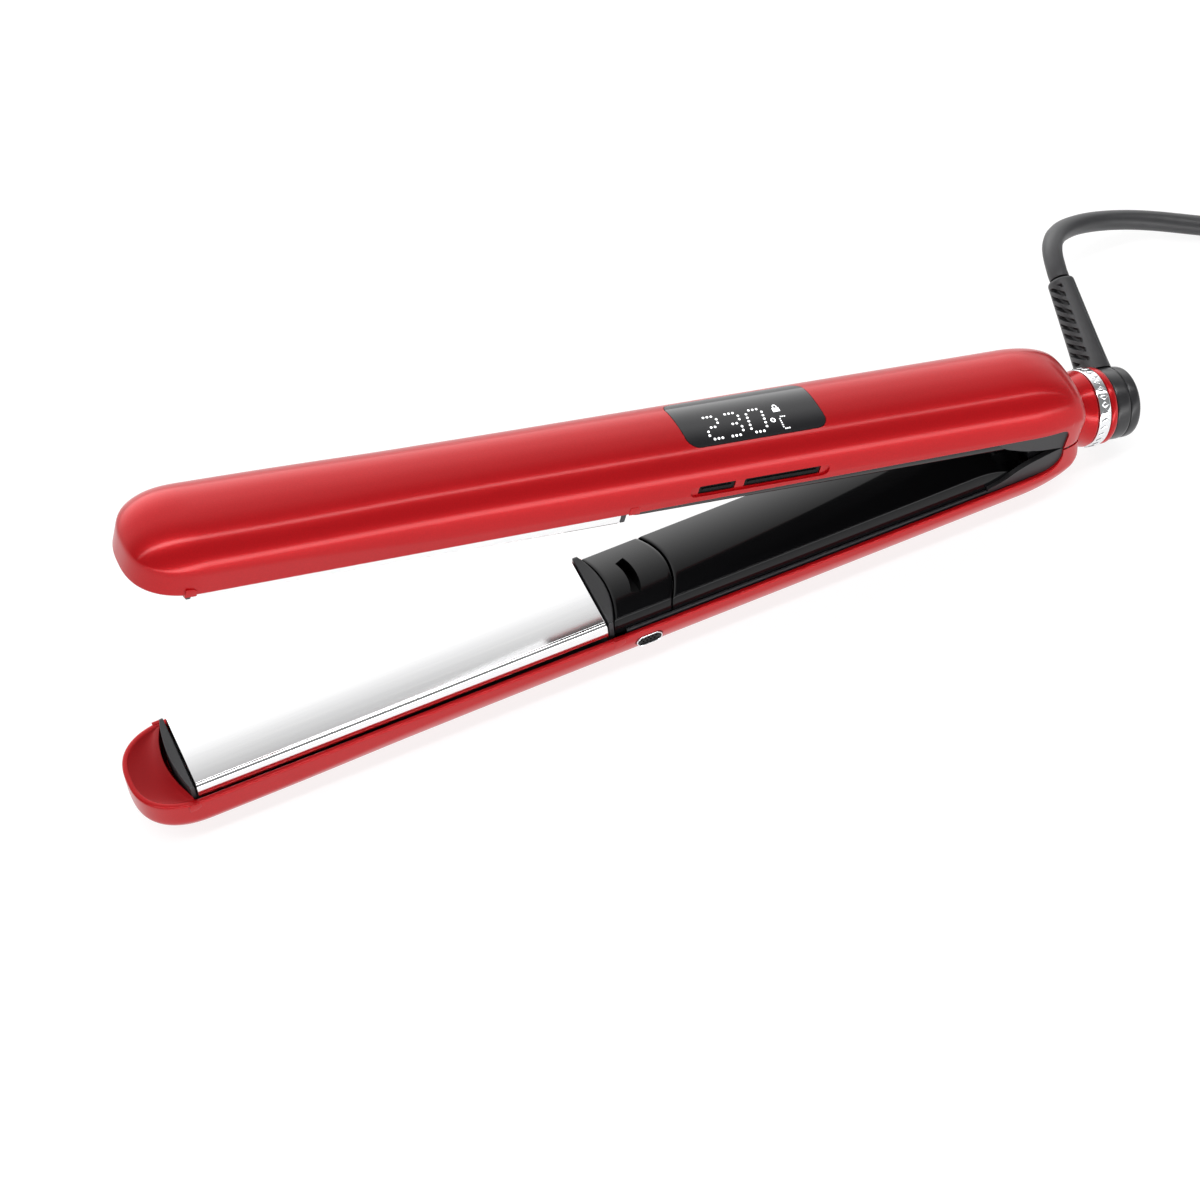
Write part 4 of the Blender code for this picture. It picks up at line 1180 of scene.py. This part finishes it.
def make_relief():
    """Tapered strain relief: radius along its length, less slanted grooves on one side.

    Groove depth is a sine comb in length plus a share of the angle, masked to 100 degrees of
    the girth; a finer comb marks the opposite edge.
    """
    length = np.linspace(9.0, 36.9, 260)[:, None]
    angle = np.linspace(0, 2 * math.pi, 120, endpoint=False)[None, :]
    share = (length - 9.0) / 27.9
    radius = 4.75 - 1.25 * share ** 0.8
    edge = np.clip((length - 35.9) / 1.0, 0, 1)
    radius = radius - 0.55 * (1 - np.sqrt(np.clip(1 - edge ** 2, 0, 1)))
    square = (np.abs(np.cos(angle)) ** 3 + np.abs(np.sin(angle)) ** 3) ** (-1 / 3)
    radius = radius * (0.55 + 0.45 * square)
    offset = (angle - math.radians(160.0) + math.pi) % (2 * math.pi) - math.pi
    mask = np.clip((math.radians(38) - np.abs(offset)) / math.radians(5), 0, 1)
    comb = np.cos(2 * math.pi * (length - 3.0 * offset) / 2.8)
    inside = np.clip((length - 11.5) / 0.5, 0, 1) * np.clip((35.0 - length) / 0.5, 0, 1)
    radius = radius - 1.4 * np.clip((comb - 0.05) * 4.0, 0, 1) * mask * inside
    seam = (angle - math.radians(58.0) + math.pi) % (2 * math.pi) - math.pi
    radius = radius - 0.3 * np.clip(1 - np.abs(seam) / math.radians(4), 0, 1) * inside
    far = (angle - math.radians(28.0) + math.pi) % (2 * math.pi) - math.pi
    strip = np.clip((math.radians(14) - np.abs(far)) / math.radians(6), 0, 1)
    fine = np.clip((np.cos(2 * math.pi * length / 1.4) - 0.2) * 3, 0, 1)
    radius = radius - 0.45 * fine * strip * inside
    x = SWIVEL_X + radius * np.cos(angle)
    tilt = radius * np.sin(angle)
    y = length * math.cos(RELIEF_RISE) - tilt * math.sin(RELIEF_RISE)
    depth = length * math.sin(RELIEF_RISE) + tilt * math.cos(RELIEF_RISE)
    points, faces = loft(np.stack([x, y, depth], -1))
    item = new_piece("lead_strain_relief", (place(points, UPPER), faces), "lead_rubber", 60.0)
    return show(item, "cord_swivel", "lead_rubber", "strain_relief")


# ---------------------------------------------------------------- lead

def smooth_through(points, steps):
    """Catmull-Rom curve through the points."""
    points = np.asarray(points, float)
    padded = np.concatenate([[2 * points[0] - points[1]], points, [2 * points[-1] - points[-2]]])
    a, b, c, d = padded[:-3, None], padded[1:-2, None], padded[2:-1, None], padded[3:, None]
    t = np.linspace(0, 1, steps, endpoint=False)[None, :, None]
    curve = 0.5 * (2 * b + (c - a) * t + (2 * a - 5 * b + 4 * c - d) * t ** 2
                   + (3 * b - 3 * c + d - a) * t ** 3)
    return np.concatenate([curve.reshape(-1, 3), points[-1:]])


def step_up(value, low, high):
    share = np.clip((value - low) / (high - low), 0, 1)
    return share * share * (3 - 2 * share)


def coil_points():
    """Eight turns in three columns and three levels, wound inwards, outwards and inwards.

    The turn changes column or level in windows of the winding angle, later turns first, so
    that neighbours never meet. The last window lifts the end over the outer turns.
    """
    degrees = np.arange(-98.0, 2770.1, 4.0)
    inner, middle, outer = COIL_RADII
    low, half, high = COIL_LEVELS
    moves = [(-100, -40, outer - 0.0426), (260, 320, middle - outer), (620, 680, inner - middle),
             (1220, 1280, middle - inner), (1580, 1640, outer - middle),
             (2180, 2240, middle - outer), (2540, 2600, inner - middle),
             (2650, 2770, 0.044 - inner)]
    climbs = [(920, 980, half - low), (1880, 1940, high - half), (2610, 2690, 0.0057)]
    radius = 0.0426 + sum(change * step_up(degrees, a, b) for a, b, change in moves)
    level = low + sum(change * step_up(degrees, a, b) for a, b, change in climbs)
    angle = np.radians(degrees)
    return np.stack([COIL_CENTRE[0] + radius * np.cos(angle),
                     COIL_CENTRE[1] + radius * np.sin(angle), level], -1)


def lead_path():
    """The whole lead: route, coil and the run to the plug, evenly spaced and eased."""
    route = smooth_through(LEAD_ROUTE, 8)
    coil = coil_points()
    start, end = coil[-1], np.array(PLUG_ENTRY)
    leave = coil[-1] - coil[-2]
    leave = leave / np.linalg.norm(leave) * 0.05
    arrive = np.array([0.05, 0.0, -0.006])
    t = np.linspace(0, 1, 24)[1:, None]
    run = (start * (2 * t ** 3 - 3 * t ** 2 + 1) + leave * (t ** 3 - 2 * t ** 2 + t)
           + end * (3 * t ** 2 - 2 * t ** 3) + arrive * (t ** 3 - t ** 2))
    path = np.concatenate([route[:-1], coil, run])
    for _ in range(3):
        path = evenly(path, 0.0022)
        path[2:-2] = (path[:-4] + path[1:-3] * 2 + path[2:-2] * 2 + path[3:-1] * 2
                      + path[4:]) / 8
    path[:, 2] = np.maximum(path[:, 2], COIL_LEVELS[0])
    return path


def evenly(path, spacing):
    gaps = np.linalg.norm(np.diff(path, axis=0), axis=1)
    run = np.concatenate([[0.0], np.cumsum(gaps)])
    marks = np.linspace(0.0, run[-1], int(run[-1] / spacing) + 1)
    return np.stack([np.interp(marks, run, path[:, k]) for k in range(3)], -1)


def tube(path, radius, sides):
    """Rings on a frame carried along the path without twist."""
    forward = np.gradient(path, axis=0)
    forward /= np.linalg.norm(forward, axis=1)[:, None]
    side = np.zeros_like(path)
    current = Vector((1.0, 0.0, 0.0))
    for k, direction in enumerate(forward):
        direction = Vector(direction)
        current = (current - direction * current.dot(direction)).normalized()
        side[k] = current
    up = np.cross(forward, side)
    angle = np.linspace(0, 2 * math.pi, sides, endpoint=False)[None, :, None]
    rings = path[:, None] + radius * (side[:, None] * np.cos(angle) + up[:, None] * np.sin(angle))
    return loft(rings)


class STRAIGHTENER_OT_lead(bpy.types.Operator):
    """Mains lead with its coil, tie and plug"""
    bl_idname = "straightener.lead"
    bl_label = "Lead, Coil and Plug"

    def execute(self, context):
        diameter = context.scene.straightener_lead.diameter
        path = lead_path()
        lead = new_piece("mains_lead", tube(path, diameter / 2, 14), "lead_rubber", 60.0)
        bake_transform(lead)
        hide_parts("power_cord", "cord_coil", "plug_lead")
        make_plug()
        make_tie()
        return {"FINISHED"}


def make_plug():
    """Flat two-pin plug: superelliptic rings with grip grooves behind the pin face."""
    x = np.array([0.0, 0.6, 1.6, 4.0, 8.0, 12.0, 16.0, 18.5, 19.1, 19.9, 20.5, 21.5, 22.1, 22.9,
                  23.5, 24.5, 25.1, 25.9, 26.5, 30.0, 34.0, 35.4, 36.0])
    wide = np.interp(x, [0, 8, 18, 26, 36], [8.6, 13.0, 23.0, 26.0, 24.6])
    tall = np.interp(x, [0, 8, 18, 26, 36], [8.0, 9.6, 12.0, 13.5, 13.0])
    groove = np.isin(x, [19.1, 19.9, 22.1, 22.9, 25.1, 25.9]) * 1.0
    wide = wide - 1.5 * groove - np.where(x > 35.9, 1.2, 0) - np.where(x < 0.1, 0.9, 0)
    tall = tall - np.where(x > 35.9, 1.2, 0) - np.where(x < 0.1, 0.9, 0)
    angle = np.linspace(0, 2 * math.pi, 64, endpoint=False)[None, :]
    power = 0.62
    across = np.sign(np.cos(angle)) * np.abs(np.cos(angle)) ** power * wide[:, None] / 2
    up = np.sign(np.sin(angle)) * np.abs(np.sin(angle)) ** power * tall[:, None] / 2
    low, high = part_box("mains_plug")
    rings = np.stack([low.x + x[:, None] * MM + 0 * across, PLUG_ENTRY[1] + across * MM,
                      PLUG_ENTRY[2] + up * MM], -1)
    item = new_piece("plug_body", loft(rings), "lead_rubber", 45.0)
    show(item, UPPER, "lead_rubber", "mains_plug")


def make_tie():
    """Strap round the coil's section, eased at its corners."""
    low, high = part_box("cord_tie")
    strap = 0.0011
    points = np.array([(low.y, low.z), (high.y, low.z), (high.y, high.z), (low.y, high.z)])
    middle = points.mean(0)
    closed = np.concatenate([points, points[:1]])
    outer = softened(closed, 3)[:-1]
    outer = np.concatenate([outer[1:], outer[:1]])
    inner = middle + (outer - middle) * (1 - strap * 2 / (points.max(0) - points.min(0)))
    rings = []
    for x in (low.x, low.x + 0.0003, high.x - 0.0003, high.x):
        rings.append(np.insert(outer, 0, x, 1))
    for x in (high.x, low.x):
        rings.append(np.insert(inner, 0, x, 1))
    points, faces = loft(np.stack(rings), closed=True)
    item = new_piece("coil_tie", (points, faces), "matte_black")
    show(item, UPPER, "matte_black", "cord_tie")


# ---------------------------------------------------------------- inner parts and stage

INNER_FINISHES = {
    "matte_black": ("upper_plate_bed", "lower_plate_bed"),
    "gloss_black": ("ozone_module",),
    "spring_steel": ("hinge_pin", "torsion_spring", "plug_pin_left", "plug_pin_right"),
    "circuit_board": ("display_board", "control_board"),
    "silicone": ("upper_cushion_1", "upper_cushion_2", "lower_cushion_1", "lower_cushion_2"),
    "heater_ceramic": ("upper_heater", "lower_heater", "upper_fuse", "lower_fuse"),
}


class STRAIGHTENER_OT_inner(bpy.types.Operator):
    """Finishes for the pieces kept from the CAD"""
    bl_idname = "straightener.inner"
    bl_label = "Inner Parts"

    def execute(self, context):
        for name, members in INNER_FINISHES.items():
            for member in members:
                item = NODES[member]
                item.data.materials.clear()
                item.data.materials.append(finish(name))
        return {"FINISHED"}


def studio_light():
    """Soft light from all round: bright low at the back, a band overhead, one low in front.

    With a the angle from straight up towards the back, the bands are 1 - ((a - middle) /
    reach)^2 where positive, and the back wall is the square of the direction's y past 0.2.
    """
    world = bpy.data.worlds.new("studio")
    world.use_nodes = True
    tree = world.node_tree
    parts = tree.nodes.new("ShaderNodeSeparateXYZ")
    coordinates = tree.nodes.new("ShaderNodeTexCoord")
    tree.links.new(coordinates.outputs["Generated"], parts.inputs[0])
    x, y, z = (Wire(tree, parts.outputs[k]) for k in range(3))
    lean = y.math("ARCTAN2", y, z)
    away = 1 - x * x

    def band(middle, reach):
        off = (lean - middle) * (1 / reach)
        return off.math("MAXIMUM", 1 - off * off, 0.0) * away

    wall = y.ramp(0.15, 1.0)
    glow = wall * wall * 3.4 + band(-0.1, 0.09) * 12.0 + band(-1.43, 0.14) * 8.0 + 0.26
    connect(tree, tree.nodes["Background"].inputs["Strength"], glow)
    tree.nodes["Background"].inputs["Color"].default_value = (1, 1, 1, 1)
    return world


class STRAIGHTENER_OT_stage(bpy.types.Operator):
    """Camera, soft lights and a pale floor"""
    bl_idname = "straightener.stage"
    bl_label = "Stage"

    def execute(self, context):
        scene = context.scene
        data = bpy.data.cameras.new("product_camera")
        data.lens = 113.445
        data.sensor_width = 36.0
        data.clip_start, data.clip_end = 0.05, 50.0
        camera = bpy.data.objects.new("product_camera", data)
        right = Vector((0.91408974, -0.39975225, -0.06810346))
        up = Vector((0.35874518, 0.71888595, 0.59540313))
        turn = Matrix((right, up, right.cross(up))).transposed()
        place_at = Vector((-0.127833, -0.562067, 0.804397)) + right * 0.0006 + up * 0.0003
        camera.matrix_world = Matrix.Translation(place_at) @ turn.to_4x4()
        scene.collection.objects.link(camera)
        scene.camera = camera

        mesh = bpy.data.meshes.new("floor")
        mesh.from_pydata([(-6, -6, 0), (6, -6, 0), (6, 6, 0), (-6, 6, 0)], [], [(0, 1, 2, 3)])
        mesh.materials.append(finish("pale_floor"))
        floor = bpy.data.objects.new("floor", mesh)
        floor.location.z = -0.0002
        scene.collection.objects.link(floor)

        scene.world = studio_light()
        scene.view_settings.view_transform = "Standard"
        return {"FINISHED"}


# ---------------------------------------------------------------- panel and registration

class STRAIGHTENER_PT_panel(bpy.types.Panel):
    """Sizes, colours and one button for each group of pieces"""
    bl_label = "Hair Straightener"
    bl_idname = "STRAIGHTENER_PT_panel"
    bl_space_type = "VIEW_3D"
    bl_region_type = "UI"
    bl_category = "Straightener"

    def draw(self, context):
        scene = context.scene
        for group in (scene.straightener_sizes, scene.straightener_colours,
                      scene.straightener_lead):
            column = self.layout.column(align=True)
            for key in group.__annotations__:
                column.prop(group, key)
        for operator in OPERATORS:
            self.layout.operator(operator.bl_idname)


OPERATORS = (
    STRAIGHTENER_OT_stage, STRAIGHTENER_OT_lead, STRAIGHTENER_OT_shells,
    STRAIGHTENER_OT_covers, STRAIGHTENER_OT_plates, STRAIGHTENER_OT_controls,
    STRAIGHTENER_OT_neck, STRAIGHTENER_OT_inner,
)
GROUPS = (StraightenerSizes, StraightenerColours, StraightenerLead)
CLASSES = (*GROUPS, *OPERATORS, STRAIGHTENER_PT_panel)


def register():
    for item in CLASSES:
        bpy.utils.register_class(item)
    scene = bpy.types.Scene
    scene.straightener_sizes = bpy.props.PointerProperty(type=StraightenerSizes)
    scene.straightener_colours = bpy.props.PointerProperty(type=StraightenerColours)
    scene.straightener_lead = bpy.props.PointerProperty(type=StraightenerLead)


def unregister():
    del bpy.types.Scene.straightener_lead
    del bpy.types.Scene.straightener_colours
    del bpy.types.Scene.straightener_sizes
    for item in reversed(CLASSES):
        bpy.utils.unregister_class(item)


def main():
    register()
    bpy.ops.straightener.stage()
    bpy.ops.straightener.neck()
    bpy.ops.straightener.lead()
    bpy.ops.straightener.shells()
    bpy.ops.straightener.covers()
    bpy.ops.straightener.plates()
    bpy.ops.straightener.controls()
    bpy.ops.straightener.inner()


if __name__ == "__main__":
    main()
